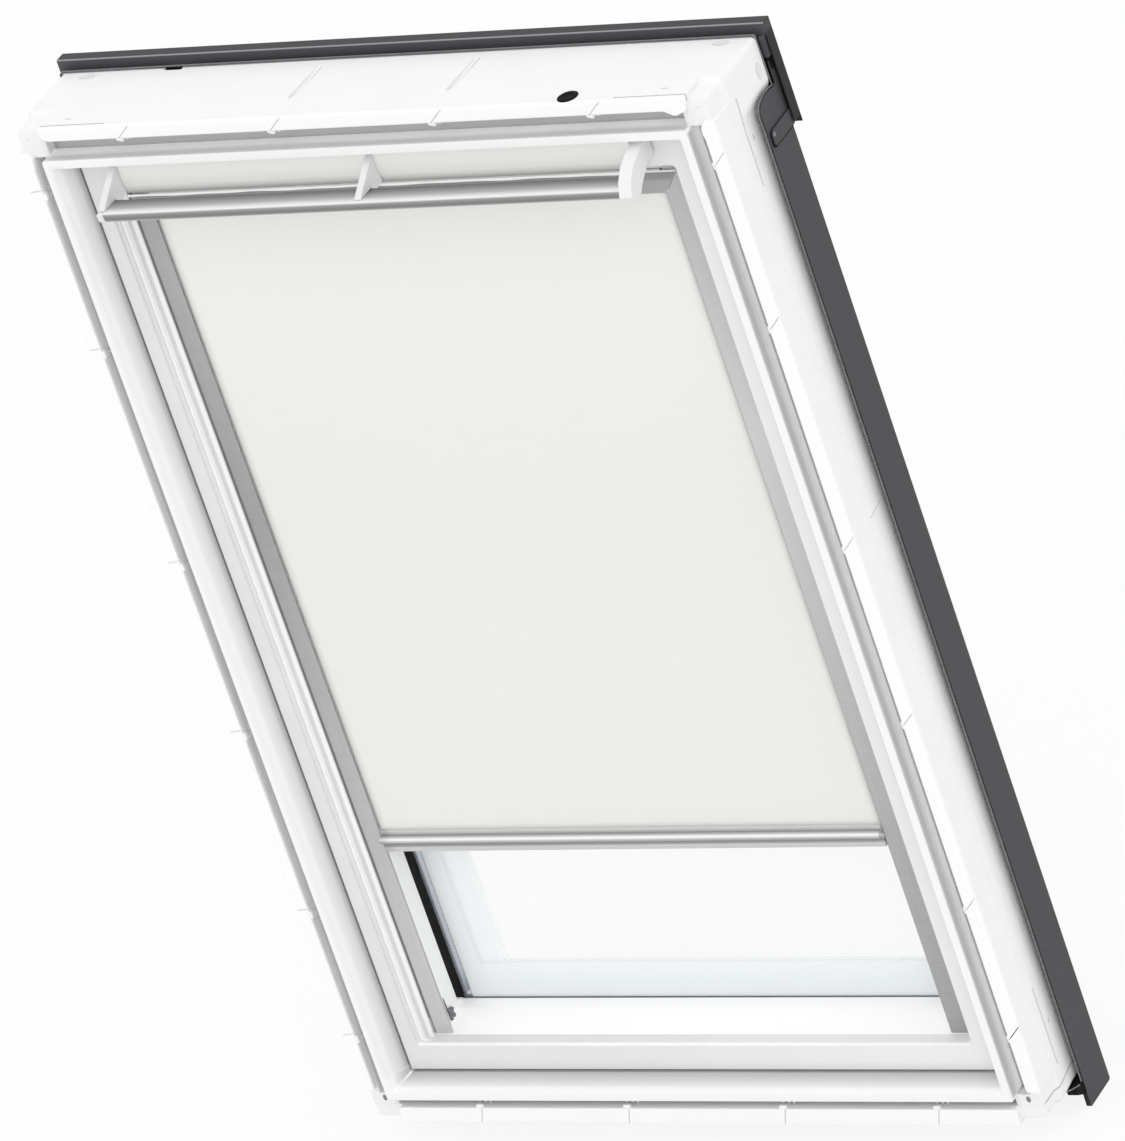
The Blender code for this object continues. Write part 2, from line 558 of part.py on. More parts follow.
strap_z = HOOD_TOP - HOOD_SIDE_LENGTH
strap_shape = [(y_at(STRAP_FRONT_DEPTH), strap_z + 0.001), (y_at(STRAP_FRONT_DEPTH), strap_z + STRAP_HEIGHT),
               (y_at(HOOD_REAR_DEPTH) - 2 * METAL_SHEET, strap_z + STRAP_HEIGHT + STRAP_LEAN),
               (y_at(HOOD_REAR_DEPTH) - 2 * METAL_SHEET, strap_z + STRAP_LEAN)]
strap_in = COVER_X + JOINT_GAP
for side, sign in (("left", -1), ("right", 1)):
    xs = span(sign, strap_in, strap_in + METAL_SHEET)
    add_part("hood_strap_" + side, extruded(strap_shape, "X", *xs), COVER_PAINT, frame)
    face = strap_in + METAL_SHEET + JOINT_GAP
    place = (sign * face, y_at(STRAP_FRONT_DEPTH + SCREW_PLACE[0]), strap_z + SCREW_PLACE[1])
    dome = [(0, 0), (SCREW_RADIUS, 0), (SCREW_RADIUS * 0.9, SCREW_HEAD * 0.6), (SCREW_RADIUS * 0.4, SCREW_HEAD),
            (0, SCREW_HEAD)]
    add_part("strap_screw_" + side, turned([(r, sign * h) for r, h in dome], place, "X", 12), METAL, frame)

# Pivots, keeper and seal
for side, sign in (("left", -1), ("right", 1)):
    xs = span(sign, REVEAL_X, REVEAL_X + SOCKET_THICK)
    socket = add_part("pivot_socket_" + side, box_mesh(
        (xs[0], y_at(PIVOT_DEPTH) - PIVOT_PLATE[0] / 2, PIVOT_Z - PIVOT_PLATE[1] / 2),
        (xs[1], y_at(PIVOT_DEPTH) + PIVOT_PLATE[0] / 2, PIVOT_Z + PIVOT_PLATE[1] / 2)), METAL, frame)
    middle = (sign * (REVEAL_X + 0.0010), y_at(PIVOT_DEPTH), PIVOT_Z)
    cut(socket, round_mesh(PIVOT_RADIUS + JOINT_GAP, PIN_LENGTH + 2 * JOINT_GAP, middle, "X"))
    add_part("pivot_pin_" + side, round_mesh(PIVOT_RADIUS, PIN_LENGTH, middle, "X"), METAL, sash)
add_part("striker_plate", box_mesh(
    (-KEEPER_HALF + JOINT_GAP, y_at(BEVEL_DEPTH + BOLT[1] + KEEPER_ROOM + 0.0015), REVEAL_TOP + 0.0005),
    (KEEPER_HALF - JOINT_GAP, y_at(BEVEL_DEPTH + BOLT[1] + 2 * KEEPER_ROOM) - JOINT_GAP,
     LIP_TOP - LIP_WIDTH - JOINT_GAP)), METAL, frame)
ring("frame_seal", REVEAL_X - JOINT_GAP, REVEAL_BOTTOM + JOINT_GAP, REVEAL_TOP - JOINT_GAP, SEAL_THICK,
     SEAL_DEPTHS, RUBBER, frame)

# Sash: insets count from its outer edge
pane_room = INNER_PANE_DEPTH - JOINT_GAP
face_depth = BEVEL_DEPTH
recess = CHANNEL_DEPTH + CHANNEL_RETURN + JOINT_GAP


def sash_section(face, mid, inner, step_depth, deep_start):
    """Rail or stile section: face, stepped moulding, inner wall, gasket seat, pane rebate."""
    points = [(0, face_depth), (face, face_depth), (face + MOULDING_STEP, step_depth)]
    points += mid
    points += [(inner, deep_start), (inner, GASKET_DEPTH), (inner - GASKET_WIDTH - JOINT_GAP, GASKET_DEPTH),
               (inner - GASKET_WIDTH - JOINT_GAP, pane_room), (inner - GLASS_BITE - JOINT_GAP, pane_room),
               (inner - GLASS_BITE - JOINT_GAP, SASH_REAR_DEPTH), (0, SASH_REAR_DEPTH)]
    return points


step_depth = face_depth + MOULDING_DEPTH
stile_section = sash_section(SASH_FACE, [(STEP_INSET, CHANNEL_DEPTH), (STEP_INSET, recess)], GLASS_INSET,
                             step_depth, recess)
top_section = sash_section(TOP_FACE, [], CASING_ROOM_INSET, step_depth, CHANNEL_DEPTH)
slope_rise = (BOTTOM_GLASS_INSET - SLOPE_START[1]) / (INNER_PANE_DEPTH - SLOPE_START[0])
slope_end = SLOPE_START[1] + slope_rise * (GASKET_DEPTH - SLOPE_START[0])
bottom_section = [(0, face_depth), (BOTTOM_FACE, face_depth), (BOTTOM_FACE + 0.0052, face_depth + 0.0032),
                  (SLOPE_START[1], SLOPE_START[0]), (slope_end, GASKET_DEPTH),
                  (BOTTOM_GLASS_INSET - GASKET_WIDTH - JOINT_GAP, GASKET_DEPTH),
                  (BOTTOM_GLASS_INSET - GASKET_WIDTH - JOINT_GAP, pane_room),
                  (BOTTOM_GLASS_INSET - GLASS_BITE - JOINT_GAP, pane_room),
                  (BOTTOM_GLASS_INSET - GLASS_BITE - JOINT_GAP, SASH_REAR_DEPTH), (0, SASH_REAR_DEPTH)]
sash_box = (SASH_X, SASH_BOTTOM, SASH_TOP)
for name, side, section in (("sash_stile_left", "left", stile_section), ("sash_stile_right", "right", stile_section),
                            ("sash_top_rail", "top", top_section), ("sash_bottom_rail", "bottom", bottom_section)):
    bar = add_part(name, member(side, section, *sash_box), PLASTIC, sash)
    if side in ("left", "right"):
        middle = ((REVEAL_X + 0.0010) * (1 if side == "right" else -1), y_at(PIVOT_DEPTH), PIVOT_Z)
        cut(bar, round_mesh(PIVOT_RADIUS + JOINT_GAP, PIN_LENGTH + 2 * JOINT_GAP, middle, "X"))
    if side == "top":
        lock_low = SASH_TOP - LOCK_CASE[2]
        cut(bar, box_mesh((-LOCK_CASE[0] / 2 - JOINT_GAP, y_at(BEVEL_DEPTH - OVERRUN), lock_low - JOINT_GAP),
                          (LOCK_CASE[0] / 2 + JOINT_GAP, y_at(BEVEL_DEPTH + LOCK_CASE[1]) + JOINT_GAP, SASH_TOP + OVERRUN)))

case = add_part("lock_case", box_mesh((-LOCK_CASE[0] / 2, y_at(BEVEL_DEPTH), SASH_TOP - LOCK_CASE[2]),
                                      (LOCK_CASE[0] / 2, y_at(BEVEL_DEPTH + LOCK_CASE[1]), SASH_TOP)), METAL, sash)
bolt_y = (y_at(BEVEL_DEPTH + KEEPER_ROOM), y_at(BEVEL_DEPTH + KEEPER_ROOM + BOLT[1]))
bolt_top = SASH_TOP + BOLT_RISE
cut(case, box_mesh((-BOLT[0] / 2 - JOINT_GAP, bolt_y[0] - JOINT_GAP, SASH_TOP - LOCK_CASE[2] - OVERRUN),
                   (BOLT[0] / 2 + JOINT_GAP, bolt_y[1] + JOINT_GAP, SASH_TOP + OVERRUN)))
add_part("lock_bolt", box_mesh((-BOLT[0] / 2, bolt_y[0], bolt_top - BOLT[2] + 0.009), (BOLT[0] / 2, bolt_y[1], bolt_top)),
         METAL, lock)

# Glazing
pane_x = GLASS_X + GLASS_BITE
pane_low, pane_high = GLASS_BOTTOM - GLASS_BITE, GLASS_TOP + GLASS_BITE
for name, depth in (("inner_pane", INNER_PANE_DEPTH), ("outer_pane", OUTER_PANE_DEPTH)):
    add_part(name, box_mesh((-pane_x, y_at(depth), pane_low), (pane_x, y_at(depth + PANE_THICK), pane_high)),
             CLEAR, sash)
ring("spacer_frame", GLASS_X + SPACER_EDGE, GLASS_BOTTOM - SPACER_EDGE, GLASS_TOP + SPACER_EDGE, SPACER_WIDTH,
     (INNER_PANE_DEPTH + PANE_THICK + JOINT_GAP, OUTER_PANE_DEPTH - JOINT_GAP), METAL, sash)
ring("inner_gasket", GLASS_X + GASKET_WIDTH, GLASS_BOTTOM - GASKET_WIDTH, GLASS_TOP + GASKET_WIDTH, GASKET_WIDTH,
     (GASKET_DEPTH + JOINT_GAP, pane_room), RUBBER, sash)
cover_bar = bent([(SASH_COVER_INSET, SASH_REAR_DEPTH + JOINT_GAP), (SASH_COVER_INSET, SASH_COVER_DEPTH),
                  (GLASS_INSET + 0.002, SASH_COVER_DEPTH), (GLASS_INSET + 0.002, SASH_REAR_DEPTH + JOINT_GAP)],
                 -METAL_SHEET)
for side in ("left", "right", "top", "bottom"):
    add_part("sash_cover_" + side, member(side, cover_bar, *sash_box), COVER_PAINT, sash)

# Blind: casing, channels and the parts that do not move
wall = METAL_SHEET * 0.9
casing_x = CHANNEL_INNER_X - 2 * JOINT_GAP
casing_path = [(y_at(MOUTH[0]) - wall, CASING_LOW), (y_at(MOUTH[0]) - wall, CASING_TOP), (y_at(CASING_REAR_DEPTH), CASING_TOP),
               (y_at(CASING_REAR_DEPTH), CASING_LOW), (y_at(MOUTH[1]), CASING_LOW)]
casing = add_part("blind_casing", extruded(bent(casing_path, -wall), "X", -casing_x, casing_x), PAINTED, sash)
mitre = CHANNEL_INNER_X + CASING_HEIGHT * CASING_MITRE
fascia = [(-CHANNEL_INNER_X, CASING_LOW), (CHANNEL_INNER_X, CASING_LOW), (mitre, CASING_TOP), (-mitre, CASING_TOP)]
join(casing, extruded(fascia, "Y", y_at(CHANNEL_DEPTH), y_at(MOUTH[0]) - wall / 2))
for side, sign in (("left", -1), ("right", 1)):
    xs = span(sign, TUBE_HALF + JOINT_GAP, casing_x)
    end = add_part("casing_end_" + side, box_mesh(
        (xs[0], y_at(MOUTH[0]) + JOINT_GAP, CASING_LOW + wall + JOINT_GAP),
        (xs[1], y_at(CASING_REAR_DEPTH) - wall - JOINT_GAP, CASING_TOP - wall - JOINT_GAP)), PLASTIC, sash)
    cut(end, round_mesh(STUB_RADIUS + JOINT_GAP, 0.05, (sign * casing_x, y_at(TUBE_DEPTH), TUBE_Z), "X"))
channel_path = [(CHANNEL_INNER_X, y_at(CHANNEL_DEPTH)), (CHANNEL_X, y_at(CHANNEL_DEPTH)),
                (CHANNEL_X, y_at(CHANNEL_DEPTH + CHANNEL_RETURN))]
channel_outline = bent(channel_path, METAL_SHEET * 0.86)
channel_low = SASH_BOTTOM + SLOPE_START[1] + slope_rise * (CHANNEL_DEPTH + CHANNEL_RETURN - SLOPE_START[0]) + JOINT_GAP


def channel_top(x, y):
    """The mitre that meets the casing's fascia."""
    return CASING_LOW + (abs(x) - CHANNEL_INNER_X) / CASING_MITRE - 2 * JOINT_GAP


for side, outline in (("left", flipped(channel_outline)), ("right", channel_outline)):
    add_part("blind_channel_" + side, extruded(outline, "Z", channel_low, channel_top), PAINTED, sash)
add_part("cleaning_clip", box_mesh((-GLASS_X + JOINT_GAP, y_at(0.0520), GLASS_BOTTOM + 0.0010),
                                   (-GLASS_X + JOINT_GAP + 0.0012, y_at(0.0610), GLASS_BOTTOM + 0.0250)), METAL, sash)

# Blind: roller, fabric and bottom bar
tube = add_part("roller_tube", round_mesh(ROLL_RADIUS, 2 * TUBE_HALF, (0, y_at(TUBE_DEPTH), TUBE_Z), "X", 24), CLOTH, roller)
cut(tube, round_mesh(TUBE_RADIUS, 2 * TUBE_HALF + OVERRUN, (0, y_at(TUBE_DEPTH), TUBE_Z), "X", 24))
plug = [(0, -0.0200), (TUBE_RADIUS - JOINT_GAP, -0.0200), (TUBE_RADIUS - JOINT_GAP, 0), (STUB_RADIUS, 0),
        (STUB_RADIUS, 0.0025), (0, 0.0025)]
for side, sign in (("left", -1), ("right", 1)):
    add_part("tube_plug_" + side, turned([(r, sign * h) for r, h in plug], (sign * TUBE_HALF, y_at(TUBE_DEPTH), TUBE_Z), "X"),
             METAL, roller)
bar_top = BLIND_BAR_LOW + BLIND_BAR_HEIGHT
add_part("blind_fabric", box_mesh((-FABRIC_HALF, y_at(FABRIC_DEPTH), bar_top + JOINT_GAP),
                                  (FABRIC_HALF, y_at(FABRIC_DEPTH + FABRIC_THICK), TUBE_Z)), CLOTH, blind)
bead_y, bead_z = y_at(BLIND_BAR_FRONT) - 0.0010, BLIND_BAR_LOW + BEAD_HEIGHT
bead = [(bead_y - BEAD_RADIUS * math.cos(math.radians(angle)), bead_z - BEAD_RADIUS * math.sin(math.radians(angle)))
        for angle in range(-130, 131, 20)]
lip_depth, lip_top, groove_top = BLIND_BAR_LIP
bar_outline = [(y_at(BLIND_BAR_REAR), BLIND_BAR_LOW + 0.0010), (y_at(BLIND_BAR_REAR), bar_top), (y_at(BLIND_BAR_FACE), bar_top),
               (y_at(BLIND_BAR_FACE), BLIND_BAR_LOW + BLIND_BAR_SHOULDER), *bead,
               (y_at(BLIND_BAR_GROOVE), BLIND_BAR_LOW + groove_top), (y_at(lip_depth), BLIND_BAR_LOW + lip_top),
               (y_at(lip_depth), BLIND_BAR_LOW)]
add_part("bottom_bar", extruded(bar_outline, "X", -BLIND_BAR_HALF, BLIND_BAR_HALF), PAINTED, blind)
glide_low = BLIND_BAR_LOW + 0.004
for side, sign in (("left", -1), ("right", 1)):
    xs = span(sign, BLIND_BAR_HALF + JOINT_GAP, BLIND_BAR_HALF + JOINT_GAP + GLIDE_SIZE[0])
    add_part("end_glide_" + side, box_mesh(
        (xs[0], y_at(CHANNEL_DEPTH + METAL_SHEET), glide_low),
        (xs[1], y_at(CHANNEL_DEPTH + METAL_SHEET) + GLIDE_SIZE[1] * 0.8, glide_low + GLIDE_SIZE[2])), PLASTIC, blind)

# Ventilation flap: a curved panel that carries three fins and the control bar
bar_low = BAR_TOP_Z - BAR_HEIGHT
flap_path = [(y_at(FLAP_FRONT_DEPTH + back), bar_low + rise) for back, rise in FLAP_BENDS]
flap_path += [(y_at(FLAP_FRONT_DEPTH + 0.0004), FLAP_TOP_Z)]
panel_half = FIN_X - FIN_THICK / 2 - JOINT_GAP
add_part("flap_panel", extruded(bent(flap_path, -FLAP_SHEET), "X", -panel_half, panel_half), WARM_PLASTIC, flap)
fin_notch = [(y_at(FIN_FRONT_DEPTH), BAR_TOP_Z + JOINT_GAP), (y_at(BAR_REAR_DEPTH) + JOINT_GAP, BAR_TOP_Z + JOINT_GAP),
             (y_at(BAR_REAR_DEPTH) + JOINT_GAP, bar_low + FIN_TOES[0][1])]
fin_top = [(y_at(FIN_TOP_DEPTH), FLAP_TOP_Z), (y_at(FIN_FRONT_DEPTH), BAR_TOP_Z + FIN_NOSE_RISE)]
fin_rear = [(y_at(depth), bar_low + rise) for depth, rise in FIN_TOES]
fin_rear += [(y_at(FIN_REAR_DEPTH), bar_low + FIN_HEEL_RISE), (y_at(FIN_REAR_DEPTH), FLAP_TOP_Z)]
panel_front = [(y - PANEL_CLEARANCE, z) for y, z in flap_path[1:]]
add_part("flap_fin_left", extruded(fin_notch + fin_rear + fin_top, "X", -FIN_X - FIN_THICK / 2, -FIN_X + FIN_THICK / 2),
         PLASTIC, flap)
middle_toe = (panel_front[0][0] + PANEL_CLEARANCE, bar_low + FIN_TOES[0][1])
add_part("flap_fin_middle", extruded(fin_notch + [middle_toe] + panel_front + fin_top[1:], "X", -FIN_THICK / 2,
                                     FIN_THICK / 2), PLASTIC, flap)
arm_shape = [(y_at(depth), bar_low + rise) for depth, rise in ARM_NOSE]
arm_shape += [(y_at(depth), FLAP_TOP_Z - drop) for depth, drop in ARM_BACK]
add_part("flap_arm_right", extruded(arm_shape, "X", *ARM_X), PLASTIC, flap)
bar_shape = [(y_at(depth), bar_low + rise) for depth, rise in BAR_EDGES]
bar_left = BAR_INSET - SASH_X
add_part("control_bar", extruded(bar_shape, "X", bar_left, ARM_X[0] - JOINT_GAP), PAINTED, flap)
add_part("bar_end_cap", extruded(bar_shape, "X", bar_left - JOINT_GAP - CAP_LENGTH, bar_left - JOINT_GAP), PLASTIC,
         flap)
add_part("flap_hinge_rod", round_mesh(ROD_RADIUS, ARM_X[0] + panel_half - 2 * JOINT_GAP,
                                     ((ARM_X[0] - panel_half) / 2, y_at(FLAP_AXIS_DEPTH), FLAP_AXIS_Z), "X", 12), METAL, flap)
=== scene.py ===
"""Looks of a centre-pivot roof window with a roller blind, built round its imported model.

Metres. +X is to the right seen from the room, +Y points out of the roof, +Z up the window.
"""

import math

import bmesh
import bpy
from mathutils import Matrix, Vector


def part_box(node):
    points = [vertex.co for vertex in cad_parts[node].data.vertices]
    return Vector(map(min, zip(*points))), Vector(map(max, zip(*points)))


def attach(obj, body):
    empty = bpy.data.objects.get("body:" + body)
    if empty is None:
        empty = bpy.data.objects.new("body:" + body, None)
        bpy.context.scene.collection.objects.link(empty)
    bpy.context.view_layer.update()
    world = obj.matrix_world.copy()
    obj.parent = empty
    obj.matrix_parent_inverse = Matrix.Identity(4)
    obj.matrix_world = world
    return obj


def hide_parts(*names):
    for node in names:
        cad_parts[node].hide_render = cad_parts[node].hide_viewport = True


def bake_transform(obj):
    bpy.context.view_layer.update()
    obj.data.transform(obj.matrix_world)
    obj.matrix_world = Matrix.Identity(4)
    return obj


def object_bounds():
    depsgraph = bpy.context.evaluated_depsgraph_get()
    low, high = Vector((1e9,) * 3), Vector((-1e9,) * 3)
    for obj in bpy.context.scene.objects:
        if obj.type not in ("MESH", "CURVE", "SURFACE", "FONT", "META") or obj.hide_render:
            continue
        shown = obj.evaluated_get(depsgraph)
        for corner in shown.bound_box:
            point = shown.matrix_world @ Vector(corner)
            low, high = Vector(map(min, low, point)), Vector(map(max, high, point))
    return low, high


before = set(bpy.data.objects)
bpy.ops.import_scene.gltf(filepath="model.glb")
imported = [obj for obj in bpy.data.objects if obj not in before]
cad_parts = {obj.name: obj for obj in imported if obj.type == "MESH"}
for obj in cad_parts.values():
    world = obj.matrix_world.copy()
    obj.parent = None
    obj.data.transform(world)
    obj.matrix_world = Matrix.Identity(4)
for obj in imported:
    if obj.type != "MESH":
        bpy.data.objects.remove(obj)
cad_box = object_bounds()

# Viewpoint: a long lens looks down on the room side from the right, and is rolled so that the
# window leans to the left in the picture.
AZIMUTH, ELEVATION, ROLL = 35.110, 27.350, -19.337
DISTANCE = 10.8
AIM = Vector((0.0615, -0.0240, 0.6618))
LENS = 351.79

turn, lift, roll = (math.radians(angle) for angle in (AZIMUTH, ELEVATION, ROLL))
back = Vector((math.sin(turn) * math.cos(lift), -math.cos(turn) * math.cos(lift), math.sin(lift)))
level = (-back).cross(Vector((0, 0, 1))).normalized()
upright = level.cross(-back)
across = level * math.cos(roll) + upright * math.sin(roll)
above = upright * math.cos(roll) - level * math.sin(roll)
camera = bpy.data.objects.new("viewpoint", bpy.data.cameras.new("viewpoint"))
bpy.context.scene.collection.objects.link(camera)
camera.data.lens = LENS
camera.data.sensor_width = 36
camera.data.clip_end = 100
camera.matrix_world = Matrix((across, above, back)).transposed().to_4x4()
camera.location = AIM + back * DISTANCE
bpy.context.scene.camera = camera
bpy.context.scene.view_settings.view_transform = "Standard"

# Studio: an even white room and one broad lamp from the upper right, in front of the window.
ROOM_LIGHT = 0.88
LAMP_POWER = 0.66
LAMP_FROM = Vector((0.36, -0.50, 0.79))
LAMP_SOFTNESS = 70

room = bpy.data.worlds.new("studio")
bpy.context.scene.world = room
room.use_nodes = True
nodes, links = room.node_tree.nodes, room.node_tree.links
seen = nodes.new("ShaderNodeLightPath")
direct = nodes.new("ShaderNodeMath")
direct.operation = "MAXIMUM"
links.new(seen.outputs["Is Camera Ray"], direct.inputs[0])
links.new(seen.outputs["Is Transmission Ray"], direct.inputs[1])
mirrored = nodes.new("ShaderNodeMath")
mirrored.operation = "MAXIMUM"
links.new(direct.outputs[0], mirrored.inputs[0])
links.new(seen.outputs["Is Glossy Ray"], mirrored.inputs[1])
strength = nodes.new("ShaderNodeMapRange")
strength.inputs["To Min"].default_value = ROOM_LIGHT
strength.inputs["To Max"].default_value = 1.0
links.new(mirrored.outputs[0], strength.inputs["Value"])
links.new(strength.outputs["Result"], nodes["Background"].inputs["Strength"])
nodes["Background"].inputs["Color"].default_value = (1, 1, 1, 1)

lamp = bpy.data.objects.new("lamp", bpy.data.lights.new("lamp", "SUN"))
bpy.context.scene.collection.objects.link(lamp)
lamp.data.energy = LAMP_POWER
lamp.data.angle = math.radians(LAMP_SOFTNESS)
lamp.rotation_euler = LAMP_FROM.to_track_quat("Z", "Y").to_euler()

# Floor: a pale sheet under the window that shows white and keeps a soft shadow of it.
FLOOR_GLOW = 0.86


class Wire:
    """A value in a material's node tree. Python's operators on it add the Math nodes."""

    def __init__(self, finish, socket):
        self.finish = finish
        self.socket = socket

    def math(self, operation, *others):
        """The value through a Math node, with what else that node takes."""
        return self.finish.math(operation, self, *others)

    def __add__(self, other):
        return self.math("ADD", other)

    def __sub__(self, other):
        return self.math("SUBTRACT", other)

    def __rsub__(self, other):
        return self.finish.math("SUBTRACT", other, self)

    def __mul__(self, other):
        return self.math("MULTIPLY", other)

    def __truediv__(self, other):
        return self.math("DIVIDE", other)

    def __pow__(self, other):
        return self.math("POWER", other)

    def __rtruediv__(self, other):
        return self.finish.math("DIVIDE", other, self)

    def __abs__(self):
        return self.math("ABSOLUTE")

    __radd__ = __add__
    __rmul__ = __mul__

    def ease(self, low, high):
        """0 at low and before, 1 at high and past it, with a soft change between them."""
        return self.finish.add("ShaderNodeMapRange", {"interpolation_type": "SMOOTHSTEP"},
                               {"Value": self, "From Min": low, "From Max": high}, "Result")

    def past(self, place, soft=0.0005):
        """0 before a place and 1 past it, with a soft change that reaches that far to each side."""
        return self.ease(place - soft, place + soft)

    def within(self, low, high, soft):
        """1 between low and high, and 0 outside them, with soft edges of that width."""
        return self.ease(low - soft, low) * (1 - self.ease(high, high + soft))

    def ramp(self, *stops):
        """A tone that follows the value through (value, tone) stops."""
        low, high = stops[0][0], stops[-1][0]
        shades = [((at - low) / (high - low), (tone, tone, tone)) for at, tone in stops]
        return self.finish.add("ShaderNodeValToRGB", {"stops": shades},
                               {"Fac": (self - low) / (high - low)}, "Color")


class Finish:
    """A surface finish: a Principled shader whose values are built as expressions of Wires."""

    def __init__(self, name, colour, roughness, metallic=0.0):
        self.material = bpy.data.materials.new(name)
        self.material.use_nodes = True
        self.tree = self.material.node_tree
        self.shader = self.tree.nodes["Principled BSDF"]
        self.plug(self.shader.inputs["Base Color"], (*colour, 1))
        self.plug(self.shader.inputs["Roughness"], roughness)
        self.plug(self.shader.inputs["Metallic"], metallic)
        self.place = self.add("ShaderNodeTexCoord", output="Object")
        parts = self.add("ShaderNodeSeparateXYZ", None, {"Vector": self.place}).socket.node
        self.x, self.y, self.z = (Wire(self, parts.outputs[axis]) for axis in "XYZ")

    def add(self, kind, settings=None, values=None, output=0):
        """Any node: its type, its settings, the values or Wires of its sockets, the socket read."""
        node = self.tree.nodes.new(kind)
        for name, value in (settings or {}).items():
            if name == "stops":
                for position, shade in value[1:-1]:
                    node.color_ramp.elements.new(position)
                for stop, (position, shade) in zip(node.color_ramp.elements, value):
                    stop.position = position
                    stop.color = (*shade, 1)
            else:
                setattr(node, name, value)
        for name, value in (values or {}).items():
            self.plug(node.inputs[name], value)
        return Wire(self, node.outputs[output])

    def math(self, operation, *values):
        return self.add("ShaderNodeMath", {"operation": operation}, dict(enumerate(values)))

    def plug(self, socket, value):
        if isinstance(value, Wire):
            self.tree.links.new(value.socket, socket)
        else:
            socket.default_value = value

    def set(self, name, value):
        self.plug(self.shader.inputs[name], value)

    def noise(self, size, detail=2.0, stretch=(1, 1, 1)):
        """Noise from 0 to 1 with grains of about that size in metres, drawn out by a small stretch."""
        place = self.add("ShaderNodeMapping", None, {"Vector": self.place, "Scale": stretch}, "Vector")
        return self.add("ShaderNodeTexNoise", None,
                        {"Vector": place, "Scale": 1 / size, "Detail": detail}, "Fac")

    def spot(self, across, along, middle, half):
        """1 inside an oval with those half sizes round its middle, and 0 outside it."""
        reach = ((across - middle[0]) / half[0]) ** 2 + ((along - middle[1]) / half[1]) ** 2
        return 1 - reach.ease(0.55, 1.0)

    def mix(self, factor, first, second):
        """A mix of two colours."""
        return self.add("ShaderNodeMix", {"data_type": "RGBA"},
                        {0: factor, 6: self.tint(first), 7: self.tint(second)}, 2)

    def tint(self, colour):
        return colour if isinstance(colour, Wire) else (*colour, 1)

    def lit(self, share):
        """Light that a white wall gets from the walls across from it, added as a little glow."""
        self.set("Emission Color", self.mix(share, (0.0, 0.0, 0.0), (1.0, 1.0, 1.0)))
        self.set("Emission Strength", 1.0)

    def dulled(self, dull, spread, patch):
        """Roughness that wanders over patches of about that size."""
        self.set("Roughness", dull + self.noise(patch, 2) * spread)

    def worn(self, dull, spread, patch, grain, depth):
        """Roughness that wanders, and a fine relief with that grain and depth."""
        self.dulled(dull, spread, patch)
        self.set("Normal", self.bump(self.noise(grain, 2), depth))

    def bump(self, height, depth):
        """Relief: where the height is 1 the surface stands that many metres proud of where it is 0."""
        return self.add("ShaderNodeBump", None, {"Height": height, "Distance": depth}, "Normal")


def new_piece(name, mesh):
    """An object in the scene from a mesh."""
    piece = bpy.data.objects.new(name, mesh)
    bpy.context.scene.collection.objects.link(piece)
    return piece


floor_mesh = bpy.data.meshes.new("floor")
work = bmesh.new()
bmesh.ops.create_grid(work, x_segments=1, y_segments=1, size=40)
bmesh.ops.translate(work, verts=work.verts, vec=(0, 0, cad_box[0].z - 0.0005))
work.to_mesh(floor_mesh)
work.free()
floor = new_piece("floor", floor_mesh)
pale = Finish("pale_floor", (0.9, 0.9, 0.9), 0.9)
pale.set("Base Color", pale.mix(pale.noise(0.4), (0.89, 0.89, 0.89), (0.91, 0.91, 0.91)))
ray = pale.add("ShaderNodeLightPath").socket.node
looked_at = Wire(pale, ray.outputs["Is Camera Ray"])
for kind in ("Is Glossy Ray", "Is Transmission Ray"):
    looked_at = looked_at.math("MAXIMUM", Wire(pale, ray.outputs[kind]))
glow = pale.add("ShaderNodeEmission", None, {"Strength": 1.0}, "Emission")
sheet_mix = pale.add("ShaderNodeMixShader", None, {0: looked_at * FLOOR_GLOW,
                                                   1: Wire(pale, pale.shader.outputs[0]), 2: glow})
pale.tree.links.new(sheet_mix.socket, pale.tree.nodes["Material Output"].inputs["Surface"])
floor.data.materials.append(pale.material)

# Window frame: head, sill and two jambs, timber inside one seamless white moulded skin. A groove
# for the lining boards runs behind the lip, and the sides dip away under the exterior covers.
PADS_HALF, PADS_TOP = 0.390, 1.178
LIP_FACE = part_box("frame_head")[0].y
SHOULDER = (1.112, 1.130)
FRAME_RUN = (
    # millimetres: inset of the sides, of the sides above the shoulder, of top and bottom, depth
    # behind the lip's face, corner radius
    (29.4, 29.4, 33.5, 31.5, 0.0, 2.5),
    (29.4, 29.4, 33.5, 31.5, 25.8, 2.5),
    (15.2, 15.2, 14.9, 19.4, 25.8, 3.0),
    (15.2, 15.2, 14.9, 19.4, 11.5, 3.0),
    (4.7, 4.7, 4.7, 4.7, 11.5, 5.0),
    (4.3, 4.3, 4.3, 4.3, 37.0, 6.0),
    (1.0, 0.8, 0.8, 0.7, 44.0, 8.0),
    (2.0, 0.8, 1.2, 0.7, 55.0, 8.0),
    (3.8, 0.8, 1.7, 0.7, 66.0, 7.0),
    (5.6, 0.8, 2.1, 0.7, 78.0, 6.0),
    (6.4, 0.8, 2.8, 0.7, 96.0, 5.0),
    (6.4, 0.8, 3.5, 0.7, 112.0, 4.0),
    (6.4, 0.8, 3.6, 0.7, 119.4, 4.0),
    (51.4, 51.4, 48.7, 42.0, 119.4, 2.0),
    (51.4, 51.4, 48.7, 49.8, 111.0, 2.0),
    (51.4, 51.4, 48.7, 49.8, 24.5, 2.0),
    (38.4, 38.4, 42.5, 40.5, 0.0, 2.0),
)


